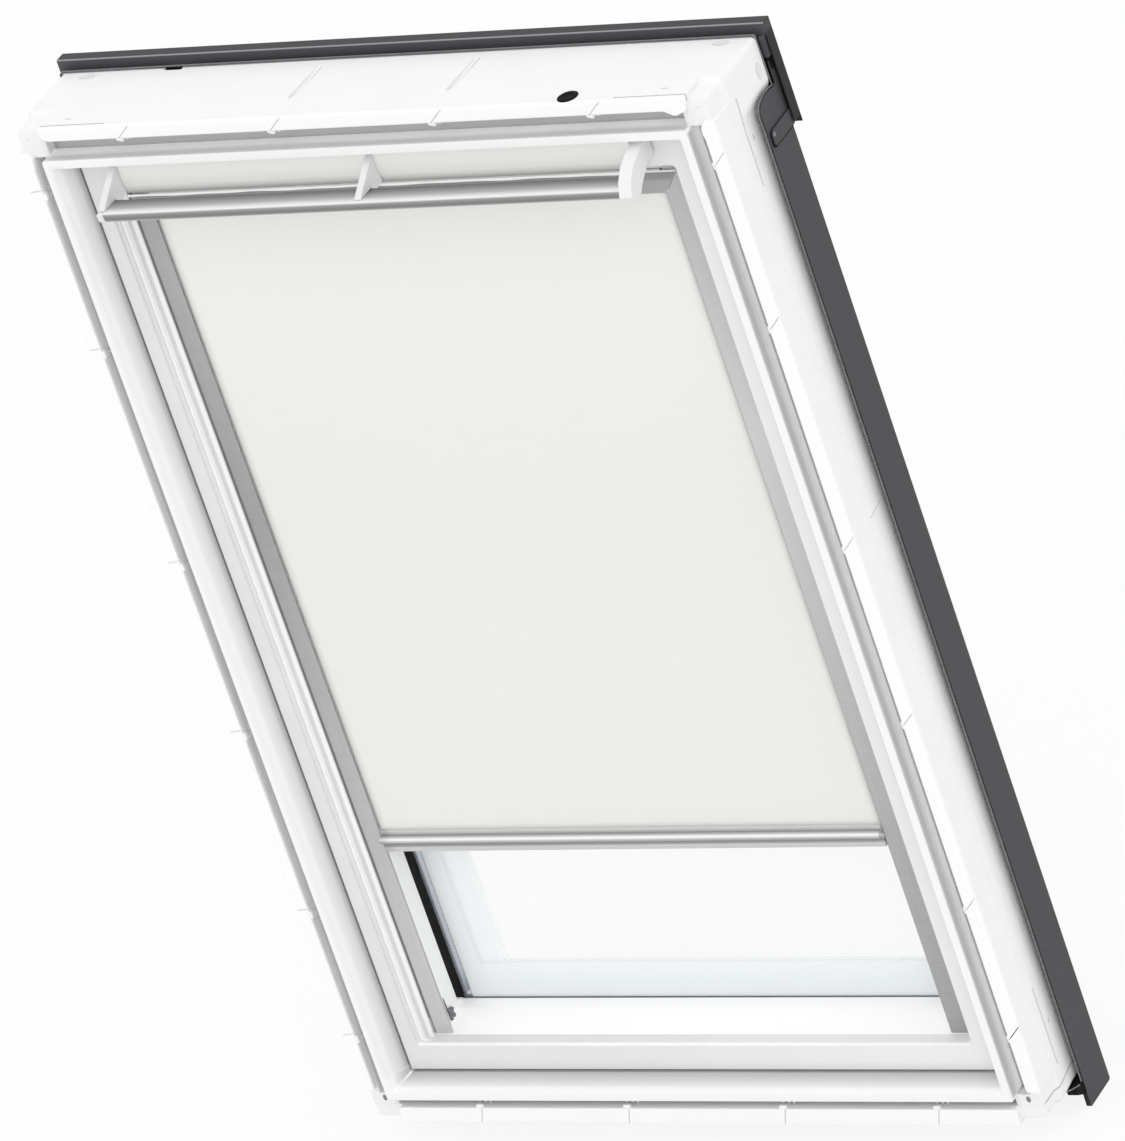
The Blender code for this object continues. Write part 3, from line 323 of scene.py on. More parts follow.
def rounded_run(run, radius, steps=2):
    """The stations of a section with its corners eased by that radius in millimetres."""
    done = []
    for i, here in enumerate(run):
        before, after = run[i - 1], run[(i + 1) % len(run)]
        for side, sign in ((before, -1), (after, 1)):
            gap = math.dist((here[0], here[2], here[-2]), (side[0], side[2], side[-2]))
            share = min(radius / gap, 0.45) if gap else 0
            ends = tuple(a + (b - a) * share for a, b in zip(here, side))
            if sign < 0:
                first = ends
        for step in range(steps + 1):
            t = step / steps
            done.append(tuple(a * (1 - t) ** 2 + b * 2 * t * (1 - t) + c * t ** 2
                              for a, b, c in zip(first, here, ends)))
    return done


def framed(name, run, ease, size, shoulder=None, arc=4):
    """A closed moulding swept round the window: each station of its section becomes one loop, in a
    frame of that half width, low and high. Sides may step over to another inset at a shoulder."""
    half, low, high = size
    mesh = bpy.data.meshes.new(name)
    work = bmesh.new()
    loops = []
    for side, upper, top, bottom, depth, radius in rounded_run(run, ease):
        radius /= 1000
        loop = []
        rise = [(half - (side + (upper - side) * t * t * (3 - 2 * t)) / 1000,
                 shoulder[0] + (shoulder[1] - shoulder[0]) * t)
                for t in (0, 0.25, 0.5, 0.75, 1)] if shoulder else []
        corners = ((1, 1, 0), (-1, 1, 90), (-1, -1, 180), (1, -1, 270))
        for sign_x, sign_z, start in corners:
            x = half - (upper if sign_z > 0 else side) / 1000
            z = high - top / 1000 if sign_z > 0 else low + bottom / 1000
            arc_points = [(sign_x * (x - radius), z - sign_z * radius, math.radians(start + 90 * i / arc))
                          for i in range(arc + 1)]
            flow = [(cx + radius * math.cos(a), cz + radius * math.sin(a)) for cx, cz, a in arc_points]
            if sign_x < 0 and sign_z < 0:
                loop += [(-x, z) for x, z in reversed(rise)]
            loop += flow
        loop += rise
        loops.append([work.verts.new((x, LIP_FACE + depth / 1000, z)) for x, z in loop])
    for first, second in zip(loops, loops[1:] + loops[:1]):
        for i in range(len(first)):
            j = (i + 1) % len(first)
            work.faces.new((first[i], first[j], second[j], second[i])).smooth = True
    bmesh.ops.recalc_face_normals(work, faces=work.faces)
    if work.calc_volume(signed=True) < 0:
        bmesh.ops.reverse_faces(work, faces=work.faces)
    work.to_mesh(mesh)
    work.free()
    return new_piece(name, mesh)


def carved(piece, tool):
    """The piece's mesh with the shape of a tool taken out; the tool is used up."""
    step = piece.modifiers.new("carving", "BOOLEAN")
    step.operation = "DIFFERENCE"
    step.solver = "EXACT"
    step.object = tool
    settled(piece)
    bpy.data.objects.remove(tool)


def settled(piece):
    """Turn a piece with modifiers into a plain mesh with none."""
    shape = bpy.data.meshes.new_from_object(piece.evaluated_get(bpy.context.evaluated_depsgraph_get()))
    piece.modifiers.clear()
    old = piece.data
    piece.data = shape
    bpy.data.meshes.remove(old)


def prisms(name, pieces, ease=0.0, steps=3):
    """One piece of flat plates. Each is an outline on the plane across an axis (0 X, 1 Y, 2 Z) and its
    low and high place along that axis; edges turned by more than 25 degrees are eased."""
    mesh = bpy.data.meshes.new(name)
    work = bmesh.new()
    for outline, axis, low, high in pieces:
        ends = [[work.verts.new(Vector(point[:axis] + (place,) + point[axis:])) for point in outline]
                for place in (low, high)]
        sides = [work.faces.new((ends[0][i - 1], ends[0][i], ends[1][i], ends[1][i - 1]))
                 for i in range(len(outline))]
        bmesh.ops.recalc_face_normals(work, faces=sides + [work.faces.new(end) for end in ends])
    if ease:
        worn = [edge for edge in work.edges if edge.calc_face_angle(0) > math.radians(25)]
        bmesh.ops.bevel(work, geom=worn, offset=ease, segments=steps, profile=0.5, affect="EDGES",
                        clamp_overlap=True)
    work.to_mesh(mesh)
    work.free()
    return new_piece(name, mesh)


def rectangle(low, high):
    """The outline between two corners on a plane."""
    return low, (high[0], low[1]), high, (low[0], high[1])


def boxed(low, high):
    """The plate that fills a box between two corners."""
    return rectangle(low[1:], high[1:]), 0, low[0], high[0]


def dressed(piece, finish, body, slot, *nodes, sharp_over=38):
    """Give a piece its one finish, body and the nodes it replaces. Its slot is not used. It is shaded
    smooth, but flat on its flat faces and with a break at sharp edges."""
    for face in piece.data.polygons:
        face.use_smooth = True
    piece.data.materials.clear()
    piece.data.materials.append(finish.material)
    piece.data.set_sharp_from_angle(angle=math.radians(sharp_over))
    weight = piece.modifiers.new("even shading", "WEIGHTED_NORMAL")
    weight.keep_sharp = True
    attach(piece, body)
    if nodes:
        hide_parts(*nodes)


# Where tones on the skin change, as half widths and heights: the lip, the groove and its corner
# plugs. Then the reveal's mitre, the score lines, the pins and the sunk ovals on top.
LIP_HALF, LIP_LOW, LIP_HIGH = 0.3560, 0.0365, 1.1395
GROOVE_HALF, GROOVE_LOW, GROOVE_HIGH = 0.3760, 0.0185, 1.1645
PLUG_HALF, PLUG_LOW, PLUG_HIGH = 0.3610, 0.0320, 1.1440
LIP_WALL_HALF = 0.3595
MITRE_AT, MITRE_RISE = (0.3386, 0.0498), 1.398
TOP_SCORE, SIDE_SCORE, SCORE_HALF = -0.0133, 0.0308, 0.0005
PIN_AT, PIN_HALF = (0.3708, 0.0270), (0.0028, 0.0042)
DIP_AT, DIP_HALF = (0.3560, 0.0875), (0.0100, 0.0060)
skin = Finish("moulded_white_skin", (0.91, 0.91, 0.92), 0.38)
x, y, z = skin.x, skin.y, skin.z
mottle = skin.noise(0.09, 3) * 0.6 + skin.noise(0.012, 2) * 0.4
tone = skin.mix(mottle.ease(0.35, 0.7), (0.895, 0.898, 0.906), (0.918, 0.920, 0.926))
# Painted light: the lip's face and the pads' fronts, nearest the room, are painted lighter than the rest.
tone = skin.mix(1 - y.ease(-0.0165, -0.0150), tone, (0.975, 0.975, 0.980))
tone = skin.mix(1 - y.ease(-0.0230, -0.0215), tone, (0.930, 0.930, 0.935))
beside = (1 - abs(x).past(LIP_HALF)) * (1 - z.past(LIP_HIGH))
beside = 1 - beside * z.past(LIP_LOW)
groove = beside * (1 - abs(x).past(GROOVE_HALF)) * z.past(GROOVE_LOW)
groove = groove * (1 - z.past(GROOVE_HIGH))
corner = abs(x).past(PLUG_HALF) * (1 - z.within(PLUG_LOW, PLUG_HIGH, 0.0005))
groove = groove * (1 - corner)
upright_part = abs(x).ease(0.355, 0.357)
drawn = skin.noise(0.0045, 3, (1, 1, 0.01)) * upright_part
drawn = drawn + skin.noise(0.0045, 3, (0.01, 1, 1)) * (1 - upright_part)
# Painted shade in the groove: streaks that deepen towards its floor, and a darker band on its floor.
groove_shade_streaks = y.ease(-0.0225, -0.0100) * drawn.ease(0.35, 0.65) * 0.45
tone = skin.mix(groove * groove_shade_streaks, tone, (0.60, 0.60, 0.61))
tone = skin.mix(groove * y.past(0.0, 0.0015) * 0.8, tone, (0.46, 0.46, 0.47))
# Painted shadow on the groove's lower wall along the sill, darker towards the back.
ledge = (1 - z.past(0.0205)) * z.ease(0.0180, 0.0185)
tone = skin.mix(ledge * y.ease(-0.0140, -0.0040) * 0.8, tone, (0.45, 0.45, 0.46))
flank = abs(x).ease(0.3785, 0.3800)
# Painted shade on the sides where they dip away under the covers.
hollow = flank * y.ease(0.0400, 0.0545) * (1 - z.ease(1.095, 1.125))
tone = skin.mix(hollow * 0.12, tone, (0.36, 0.36, 0.37))

# The reveal is painted with shade that deepens with depth, each of its sides in its own way. The lip's walls
# are painted with shade and light along their depth, and glow a little.
reveal = (1 - beside) * y.ease(-0.0225, 0.0005)
low = 1 - z.ease(0.055, 0.060)
shade = 0.24 + low * 0.55 + x.past(0.337, 0.001) * (1 - low) * 0.45
shade = shade + z.ease(1.118, 1.124) * abs(x).ease(0.338, 0.330) * 0.25
deep_left = y.ramp((-0.0240, 0.10), (-0.0160, 0.12), (-0.0071, 0.38), (-0.0047, 0.50),
                   (-0.0023, 0.85), (0.0005, 1.0))
left_side = (1 - x.past(-0.3375)) * (1 - beside) * (1 - low)
tone = skin.mix(reveal * shade * (1 - left_side), tone, (0.46, 0.46, 0.47))
tone = skin.mix(left_side * deep_left, tone, (0.47, 0.47, 0.48))
lip_wall = x.within(0.3590, 0.3615, 0.0004) * z.within(0.0360, 1.1400, 0.001)
lip_top = z.within(1.1432, 1.1455, 0.0004) * (1 - abs(x).past(LIP_WALL_HALF))
bounce = lip_wall + lip_top * 0.65
lip_wall = lip_wall.math("MAXIMUM", lip_top)
lip_wall = lip_wall * (1 - y.ease(0.0012, 0.0018)) * y.ease(-0.0238, -0.0230)
wall_tone = y.ramp((-0.0240, 0.90), (-0.0203, 0.62), (-0.0160, 0.64), (-0.0117, 0.90),
                   (-0.0070, 0.97), (0.0, 0.97), (0.0012, 0.60))
tone = skin.mix(lip_wall, tone, wall_tone)
tone = skin.mix(lip_wall * drawn.ease(0.45, 0.65) * 0.10, tone, (0.45, 0.45, 0.46))
wall_glow = y.ramp((-0.0130, 0.0), (-0.0075, 0.11), (-0.0035, 0.18), (-0.0005, 0.18), (0.0008, 0.0))
skin.lit(bounce * lip_wall * wall_glow)
# A painted highlight along the reveal's mitres at the bottom corners.
mitre = abs(abs(x) - MITRE_AT[0] - (MITRE_AT[1] - z) * MITRE_RISE)
mitre = (1 - mitre.ease(0.0012, 0.0026)) * (1 - z.past(0.052, 0.001))
tone = skin.mix(mitre * reveal, tone, (0.97, 0.97, 0.97))

# Score lines and seams, nicks and pins are darker than the skin and lie a little lower. The sunk ovals lie
# a little lower too, and are painted with a light shade.
score = (y - TOP_SCORE).within(-SCORE_HALF, SCORE_HALF, 0.0003) * z.ease(1.170, 1.172)
score = score * (x.within(-0.376, -0.282, 0.001) + x.within(0.2884, 0.3823, 0.001))
side_score = (y - SIDE_SCORE).within(-SCORE_HALF, SCORE_HALF, 0.0003) * flank
side_score = side_score * (z.within(1.050, 1.145, 0.001) + z.within(0.040, 0.130, 0.001))
seam = y.within(0.016, 0.086, 0.001) * z.ease(1.1700, 1.1720)
seam = seam * (1 - abs(abs(x - 0.0025) - 0.0885).ease(0.0003, 0.0010))
side_seam = 1 - abs(z - 0.683).ease(0.0003, 0.0009)
seam = seam + flank * y.within(0.022, 0.056, 0.001) * side_seam
score = (score + side_score + seam * 0.6).math("MINIMUM", 1.0)
roof = z.ease(1.1600, 1.1620)
nicks = roof * (skin.spot(x, y, (-0.3290, -0.0015), (0.0045, 0.0011))
                + skin.spot(x, y, (0.3375, -0.0004), (0.0045, 0.0011)))
for depth, height, size in ((0.0445, 1.0954, 0.0042), (0.0350, 1.0770, 0.0018), (0.0470, 1.1180, 0.0018),
                            (0.0430, 0.0830, 0.0034), (0.0480, 0.0615, 0.0016)):
    nicks = nicks + flank * skin.spot(y, z, (depth, height), (size * 0.45, size))
sunk = roof * skin.spot(abs(x), y, DIP_AT, DIP_HALF)
sunk = sunk + flank * skin.spot(y, z, (0.0840, 1.1440), (0.0055, 0.0095))
pins = (1 - y.ease(-0.0120, -0.0100)) * skin.spot(abs(x), z, PIN_AT, PIN_HALF)
# Painted shade in the sunk ovals.
tone = skin.mix(sunk * 0.3, tone, (0.55, 0.55, 0.56))
tone = skin.mix(pins, tone, (0.20, 0.20, 0.21))
marks = (score * 0.8 + nicks * 0.5).math("MINIMUM", 1.0)
skin.set("Base Color", skin.mix(marks, tone, (0.25, 0.26, 0.27)))
skin.dulled(0.34, 0.12, 0.004)
relief = skin.noise(0.0011, 2) - (score + nicks + pins) * 8 - sunk * 40
skin.set("Normal", skin.bump(relief, 0.00002))

KEEPER_ROOM = ((-0.014, LIP_FACE - 0.01, 1.1090), (0.014, LIP_FACE + 0.0405, 1.1355))
HEAD_NOTCH = ((-0.270, LIP_FACE + 0.1150, 1.1695), (-0.249, LIP_FACE + 0.13, 1.19))
STRIPS, STRIP_HALF = (-0.086, 0.091), 0.0040
STRIP_LOW, STRIP_HIGH = (LIP_FACE + 0.045, 1.1728), (LIP_FACE + 0.1115, 1.19)
frame_skin = framed("frame_skin", FRAME_RUN, 0.8, (PADS_HALF, 0.0, PADS_TOP), SHOULDER)
hollows = [boxed(*KEEPER_ROOM)]
for strip in STRIPS:
    hollows.append(boxed((strip - STRIP_HALF, *STRIP_LOW), (strip + STRIP_HALF, *STRIP_HIGH)))
hollows.append(boxed(*HEAD_NOTCH))
carved(frame_skin, prisms("frame_hollows", hollows))
dressed(frame_skin, skin, "frame", "frame_plastic", "frame_head", "frame_sill", "frame_jamb_left",
        "frame_jamb_right", "flange_rail_left", "flange_rail_right", "corner_block_top_left",
        "corner_block_top_right", "corner_block_bottom_left", "corner_block_bottom_right")

# Corner blocks: moulded plugs that end the groove at the four corners, pinned at the bottom ones.
PLUG_HEIGHTS = ((0.0186, 0.0330), (1.1425, 1.1645))
PLUG_DEPTHS = (LIP_FACE + 0.0115, LIP_FACE + 0.0262)


def on_side(sign, outline, near, far):
    """An outline across X as a plate from near to far on the left (-1) or on the right (1)."""
    return (outline, 0, *sorted((sign * near, sign * far)))


plugs = []
for sign in (-1, 1):
    for low, high in PLUG_HEIGHTS:
        outline = rectangle((PLUG_DEPTHS[0], low), (PLUG_DEPTHS[1], high))
        plugs.append(on_side(sign, outline, 0.3560, 0.3758))
dressed(prisms("groove_corner_plugs", plugs, 0.0010, 3), skin, "frame", "frame_plastic")

# Outer pads: rounded white battens moulded onto the frame. Slanting slits part them for the
# lining's clips, whose tongue and nibs show in the groove, and they stop short of the corners.
PAD_TURN = {"top": 0.84, "sill": 0.30, "right": 0.78, "left": 1.45}
PAD_DEPTHS = (LIP_FACE + 0.0042, LIP_FACE + 0.0430)
SLIT = (0.0010, 0.0022)
SLITS_ACROSS = (-0.2583, -0.0860, 0.0940, 0.2683)
SLITS_UP = (0.110, 0.263, 0.479, 0.680, 0.928, 1.109)
TOP_PAD = ((-0.3570, PADS_TOP), (-0.3563, 1.1690), (-0.3530, 1.1648), (-0.3480, 1.1634), (0.3405, 1.1634),
           (0.3500, 1.1583), (0.3535, 1.1583), (0.3640, 1.1625), (0.3667, PADS_TOP))
SILL_PAD = ((-0.3550, 0.0), (-0.3550, 0.0170), (-0.3520, 0.0192), (0.3520, 0.0192), (0.3560, 0.0170),
            (0.3565, 0.0))
SIDE_PAD = ((0.3751, 0.0425), (0.3765, 0.0395), (PADS_HALF, 0.0377), (PADS_HALF, 1.1497), (0.3787, 1.1495),
            (0.3741, 1.1440), (0.3737, 1.1370), (0.3751, 1.1310))


def repeated(name, places, shape, size, finish):
    """A small shape set down by Geometry Nodes at each (place, turn), joined into one plain mesh."""
    points = bpy.data.meshes.new(name)
    points.from_pydata([place for place, _ in places], [], [])
    turns = points.attributes.new("turning", "FLOAT_VECTOR", "POINT")
    for item, (_, turning) in zip(turns.data, places):
        item.vector = turning
    piece = new_piece(name, points)
    tree = bpy.data.node_groups.new(name, "GeometryNodeTree")
    tree.interface.new_socket("Points", in_out="INPUT", socket_type="NodeSocketGeometry")
    sized = tree.interface.new_socket("Size", in_out="INPUT", socket_type="NodeSocketVector")
    tree.interface.new_socket("Pieces", in_out="OUTPUT", socket_type="NodeSocketGeometry")
    way_in, way_out = tree.nodes.new("NodeGroupInput"), tree.nodes.new("NodeGroupOutput")
    instance = tree.nodes.new("GeometryNodeInstanceOnPoints")
    read = tree.nodes.new("GeometryNodeInputNamedAttribute")
    read.data_type = "FLOAT_VECTOR"
    read.inputs["Name"].default_value = "turning"
    turned = tree.nodes.new("FunctionNodeEulerToRotation")
    tree.links.new(read.outputs["Attribute"], turned.inputs[0])
    tree.links.new(turned.outputs[0], instance.inputs["Rotation"])
    tree.links.new(way_in.outputs["Points"], instance.inputs["Points"])
    tree.links.new(shape(tree, way_in.outputs["Size"]), instance.inputs["Instance"])
    real = tree.nodes.new("GeometryNodeRealizeInstances")
    painted = tree.nodes.new("GeometryNodeSetMaterial")
    painted.inputs["Material"].default_value = finish.material
    tree.links.new(instance.outputs[0], real.inputs[0])
    tree.links.new(real.outputs[0], painted.inputs["Geometry"])
    tree.links.new(painted.outputs[0], way_out.inputs[0])
    step = piece.modifiers.new("set down", "NODES")
    step.node_group = tree
    step[sized.identifier] = size
    settled(piece)
    return piece


def soft_block(tree, size):
    """A block with rounded edges and corners."""
    cube = tree.nodes.new("GeometryNodeMeshCube")
    tree.links.new(size, cube.inputs["Size"])
    soft = tree.nodes.new("GeometryNodeSubdivisionSurface")
    soft.inputs["Level"].default_value = 2
    soft.inputs["Edge Crease"].default_value = 0.75
    tree.links.new(cube.outputs["Mesh"], soft.inputs["Mesh"])
    return soft.outputs["Mesh"]


def plain_block(tree, size):
    """A block with square edges."""
    cube = tree.nodes.new("GeometryNodeMeshCube")
    tree.links.new(size, cube.inputs["Size"])
    return cube.outputs["Mesh"]


pads = [(outline, 1, *PAD_DEPTHS) for outline in (TOP_PAD, SILL_PAD)]
for sign in (-1, 1):
    pads.append((tuple((sign * px, pz) for px, pz in SIDE_PAD), 1, PAD_DEPTHS[0], PAD_DEPTHS[1] - 0.001))
pad_piece = prisms("frame_pads", pads, 0.0018, 4)
cuts = []
for px in SLITS_ACROSS:
    cuts += [((px, PAD_DEPTHS[0], 1.1712), (0, PAD_TURN["top"], 0)),
             ((px, PAD_DEPTHS[0], 0.0096), (0, PAD_TURN["sill"], 0))]
for pz in SLITS_UP:
    cuts += [((0.3828, PAD_DEPTHS[0], pz), (0, PAD_TURN["right"], 0)),
             ((-0.3828, PAD_DEPTHS[0], pz), (0, PAD_TURN["left"], 0))]
carved(pad_piece, repeated("pad_slits", cuts, plain_block, (SLIT[0], 2 * SLIT[1], 0.036), skin))
dressed(pad_piece, skin, "frame", "frame_plastic", sharp_over=50)
TONGUE_DEPTH, TONGUE_SIZE, NIB_SIZE = LIP_FACE + 0.0085, (0.0085, 0.0060, 0.0042), (0.0026, 0.0050, 0.0026)
nibs, tongues = [], []
for px in SLITS_ACROSS:
    tongues += [((px - 0.0085, TONGUE_DEPTH, 1.1622), (0.2, 0.25, 0)),
                ((px, TONGUE_DEPTH, 0.0200), (-0.2, 0, 0))]
    for shift in (0.0, 0.0065, 0.0125):
        nibs += [((px - 0.004 + shift, LIP_FACE + 0.013 + shift, 1.1600), (0, 0, 0.5)),
                 ((px - 0.004 + shift, LIP_FACE + 0.016, 0.0205), (0, 0, 0.5))]
for pz in SLITS_UP:
    for sign in (-1, 1):
        tongues.append(((sign * 0.3752, TONGUE_DEPTH, pz - 0.0075), (0, 1.5, 0)))
        for shift in (0.0, 0.0065):
            nibs.append(((sign * 0.3738, LIP_FACE + 0.014 + shift, pz - 0.0095 + shift), (0.5, 0, 0)))
for name, places, size in (("lining_clip_tongues", tongues, TONGUE_SIZE),
                           ("lining_clip_nibs", nibs, NIB_SIZE)):
    piece = repeated(name, places, soft_block, size, skin)
    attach(piece, "frame")

# Cable grommet: a soft black rubber ring pushed into the head, closed by a thin skin in its middle.
GROMMET_AT = (0.2355, LIP_FACE + 0.0170, PADS_TOP)
RING_PROFILE = ((0.0, 0.0001), (0.0038, 0.0001), (0.0044, 0.0003), (0.0052, 0.0009), (0.0066, 0.0012),
                (0.0092, 0.0009), (0.0107, 0.0002), (0.0109, -0.0004), (0.0109, -0.0060), (0.0, -0.0060))
rubber = Finish("black_rubber", (0.010, 0.010, 0.011), 0.6)
rubber.set("Base Color", rubber.mix(rubber.noise(0.006, 3), (0.006, 0.006, 0.007), (0.013, 0.013, 0.014)))
rubber.set("Specular IOR Level", 0.08)
rubber.worn(0.55, 0.25, 0.003, 0.0007, 0.00003)


def spun(name, profile, centre, sides=40):
    """A turned piece: (radius, height) points in metres spun upright about its centre."""
    mesh = bpy.data.meshes.new(name)
    work = bmesh.new()
    verts = [work.verts.new((radius, 0, height)) for radius, height in profile]
    edges = [work.edges.new(pair) for pair in zip(verts, verts[1:])]
    bmesh.ops.spin(work, geom=verts + edges, cent=(0, 0, 0), axis=(0, 0, 1), dvec=(0, 0, 0),
                   angle=math.radians(360), steps=sides, use_merge=True)
    bmesh.ops.remove_doubles(work, verts=work.verts, dist=0.000002)
    bmesh.ops.recalc_face_normals(work, faces=work.faces)
    if work.calc_volume(signed=True) < 0:
        bmesh.ops.reverse_faces(work, faces=work.faces)
    bmesh.ops.translate(work, vec=centre, verts=work.verts)
    for face in work.faces:
        face.smooth = True
    work.to_mesh(mesh)
    work.free()
    mesh.set_sharp_from_angle(angle=math.radians(40))
    return new_piece(name, mesh)


grommet = spun("grommet_ring", RING_PROFILE, GROMMET_AT)
grommet.data.materials.append(rubber.material)
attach(grommet, "frame")
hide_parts("cable_grommet")


def eased(name, node, body, slot, finish, radius=0.0006, sharp_over=25, segments=2, longer=0.0):
    """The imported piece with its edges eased, in its own finish and in the node's place. Its lower
    end may be drawn down, for what runs on into a hollow that only the look has."""
    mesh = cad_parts[node].data.copy()
    mesh.name = name
    work = bmesh.new()
    work.from_mesh(mesh)
    bmesh.ops.remove_doubles(work, verts=work.verts, dist=0.000002)
    bmesh.ops.dissolve_limit(work, angle_limit=math.radians(0.5), verts=work.verts, edges=work.edges)
    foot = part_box(node)[0].z + 0.001
    for vert in work.verts:
        if vert.co.z < foot:
            vert.co.z -= longer
    for face in work.faces:
        face.smooth = True
    limit = math.radians(sharp_over)
    worn = [edge for edge in work.edges if edge.is_manifold and edge.calc_face_angle(0) > limit
            and edge.calc_length() > 2.2 * radius
            and all(near.calc_length() > 2.2 * radius or near.calc_face_angle(0) < limit
                    for vert in edge.verts for near in vert.link_edges if near.is_manifold)]
    bmesh.ops.bevel(work, geom=worn, offset=radius, offset_type="OFFSET", segments=segments, profile=0.5,
                    affect="EDGES", clamp_overlap=False)
    work.to_mesh(mesh)
    work.free()
    dressed(new_piece(name, mesh), finish, body, slot, node)


eased("frame_seal_strip", "frame_seal", "frame", "black_rubber", rubber, 0.0003)

# Bare zinc-plated metal: the head's flange, pivots, keeper and lock, hinge rod and roller plugs.
zinc = Finish("zinc_plate", (0.55, 0.56, 0.57), 0.35, 1.0)
spangle = zinc.add("ShaderNodeTexVoronoi", None, {"Vector": zinc.place, "Scale": 260}, "Distance")
zinc.set("Base Color", zinc.mix(spangle, (0.50, 0.51, 0.52), (0.64, 0.65, 0.66)))
zinc.set("Roughness", 0.28 + zinc.noise(0.003, 3) * 0.2)
zinc.set("Normal", zinc.bump(zinc.noise(0.0006, 2), 0.00001))
for node, body in (("head_flange", "frame"), ("pivot_socket_left", "frame"), ("pivot_socket_right", "frame"),
                   ("striker_plate", "frame"), ("pivot_pin_left", "sash"), ("pivot_pin_right", "sash"),
                   ("lock_case", "sash"), ("lock_bolt", "bolt"), ("flap_hinge_rod", "flap"),
                   ("tube_plug_left", "roller"), ("tube_plug_right", "roller")):
    eased(node + "_zinc", node, body, "bright_metal", zinc, 0.0002)

# Exterior covers and hood: folded aluminium sheet, powder-coated dark grey. Each side cover is cut
# to a curve at its upper front corner, and a galvanised rim follows it, the flange and the head.


def powder_coated(name):
    """A dark grey coat with fine specks, and its tone, still to be worked on."""
    finish = Finish(name, (0.062, 0.060, 0.067), 0.5, 0.2)
    speck = finish.noise(0.0009, 3).ease(0.55, 0.72)
    finish.worn(0.46, 0.16, 0.002, 0.0007, 0.00002)
    return finish, finish.mix(speck, (0.058, 0.056, 0.063), (0.080, 0.078, 0.086))


def rod(name, paths, radius):
    """Round wires along lines of points, as one piece."""
    curve = bpy.data.curves.new(name, "CURVE")
    curve.dimensions = "3D"
    curve.bevel_depth = radius
    curve.bevel_resolution = 2
    curve.use_fill_caps = True
    for path in paths:
        spline = curve.splines.new("POLY")
        spline.points.add(len(path) - 1)
        for point, place in zip(spline.points, path):
            point.co = (*place, 1)
    line = new_piece(name, curve)
    mesh = bpy.data.meshes.new_from_object(line.evaluated_get(bpy.context.evaluated_depsgraph_get()))
    bpy.data.objects.remove(line)
    bpy.data.curves.remove(curve)
    return new_piece(name, mesh)


coat, tone = powder_coated("dark_powder_coat")
x, y, z = coat.x, coat.y, coat.z
# The hood is painted lighter on its front and darker on its top, as painted light and shade, with a painted
# highlight along its front top edge and deep painted shade on its ends below the top.
fascia = (1 - y.ease(0.1036, 0.1040)) * z.ease(1.1680, 1.1700)
tone = coat.mix(fascia, tone, (0.084, 0.082, 0.091))
tone = coat.mix(y.ease(0.1052, 0.1056) * z.ease(1.1815, 1.1825), tone, (0.044, 0.043, 0.048))
crest = (1 - y.ease(0.1042, 0.1052)) * z.ease(1.1832, 1.1842)
tone = coat.mix(crest, tone, (0.34, 0.34, 0.36))
cheek = abs(x).ease(0.3955, 0.3962) * (1 - z.ease(1.1700, 1.1780))
tone = coat.mix(cheek, tone, (0.012, 0.012, 0.013))
# The tab at the foot of each side cover is painted black: painted shade for the dark inside of the cover.
fold = (1 - y.ease(0.0590, 0.0596)) * (1 - abs(x).ease(0.3912, 0.3916))
tone = coat.mix(fold, tone, (0.010, 0.010, 0.011))
coat.set("Base Color", tone)
coat.set("Specular IOR Level", 0.35)
for node in ("bottom_cover", "hood"):
    eased(node + "_sheet", node, "frame", "cover_paint", coat, 0.0004)
COVER_EDGE = ((0.0580, -0.0310), (0.1035, -0.0310), (0.1050, -0.0290), (0.1050, 1.1100), (0.1068, 1.1180),
              (0.1055, 1.1440), (0.0985, 1.1460), (0.0983, 1.1225), (0.0930, 1.1212), (0.0880, 1.1221),
              (0.0792, 1.1228), (0.0715, 1.1222), (0.0640, 1.1200), (0.0598, 1.1170), (0.0577, 1.1130),
              (0.0572, 1.1070), (0.0580, 1.0960))
STRAP_EDGE = ((0.0627, 1.0861), (0.0654, 1.0899), (0.0990, 1.0905), (0.1095, 1.0900), (0.1144, 1.0830),
              (0.1144, 1.0770), (0.0995, 1.0735), (0.0654, 1.0734), (0.0622, 1.0760))
COVER_PLATES = (
    # outline and where it begins and ends across: skin, return beside the sash, tab at the foot,
    # cheek under the hood's end
    (COVER_EDGE, 0.3916, 0.3930),
    (rectangle((0.1036, -0.0310), (0.1050, 1.1000)), 0.3430, 0.3914),
    (rectangle((0.0580, -0.0310), (0.0592, -0.0010)), 0.3870, 0.3914),
    (rectangle((0.0980, 1.1500), (0.1110, 1.1720)), 0.3900, 0.3950),
)
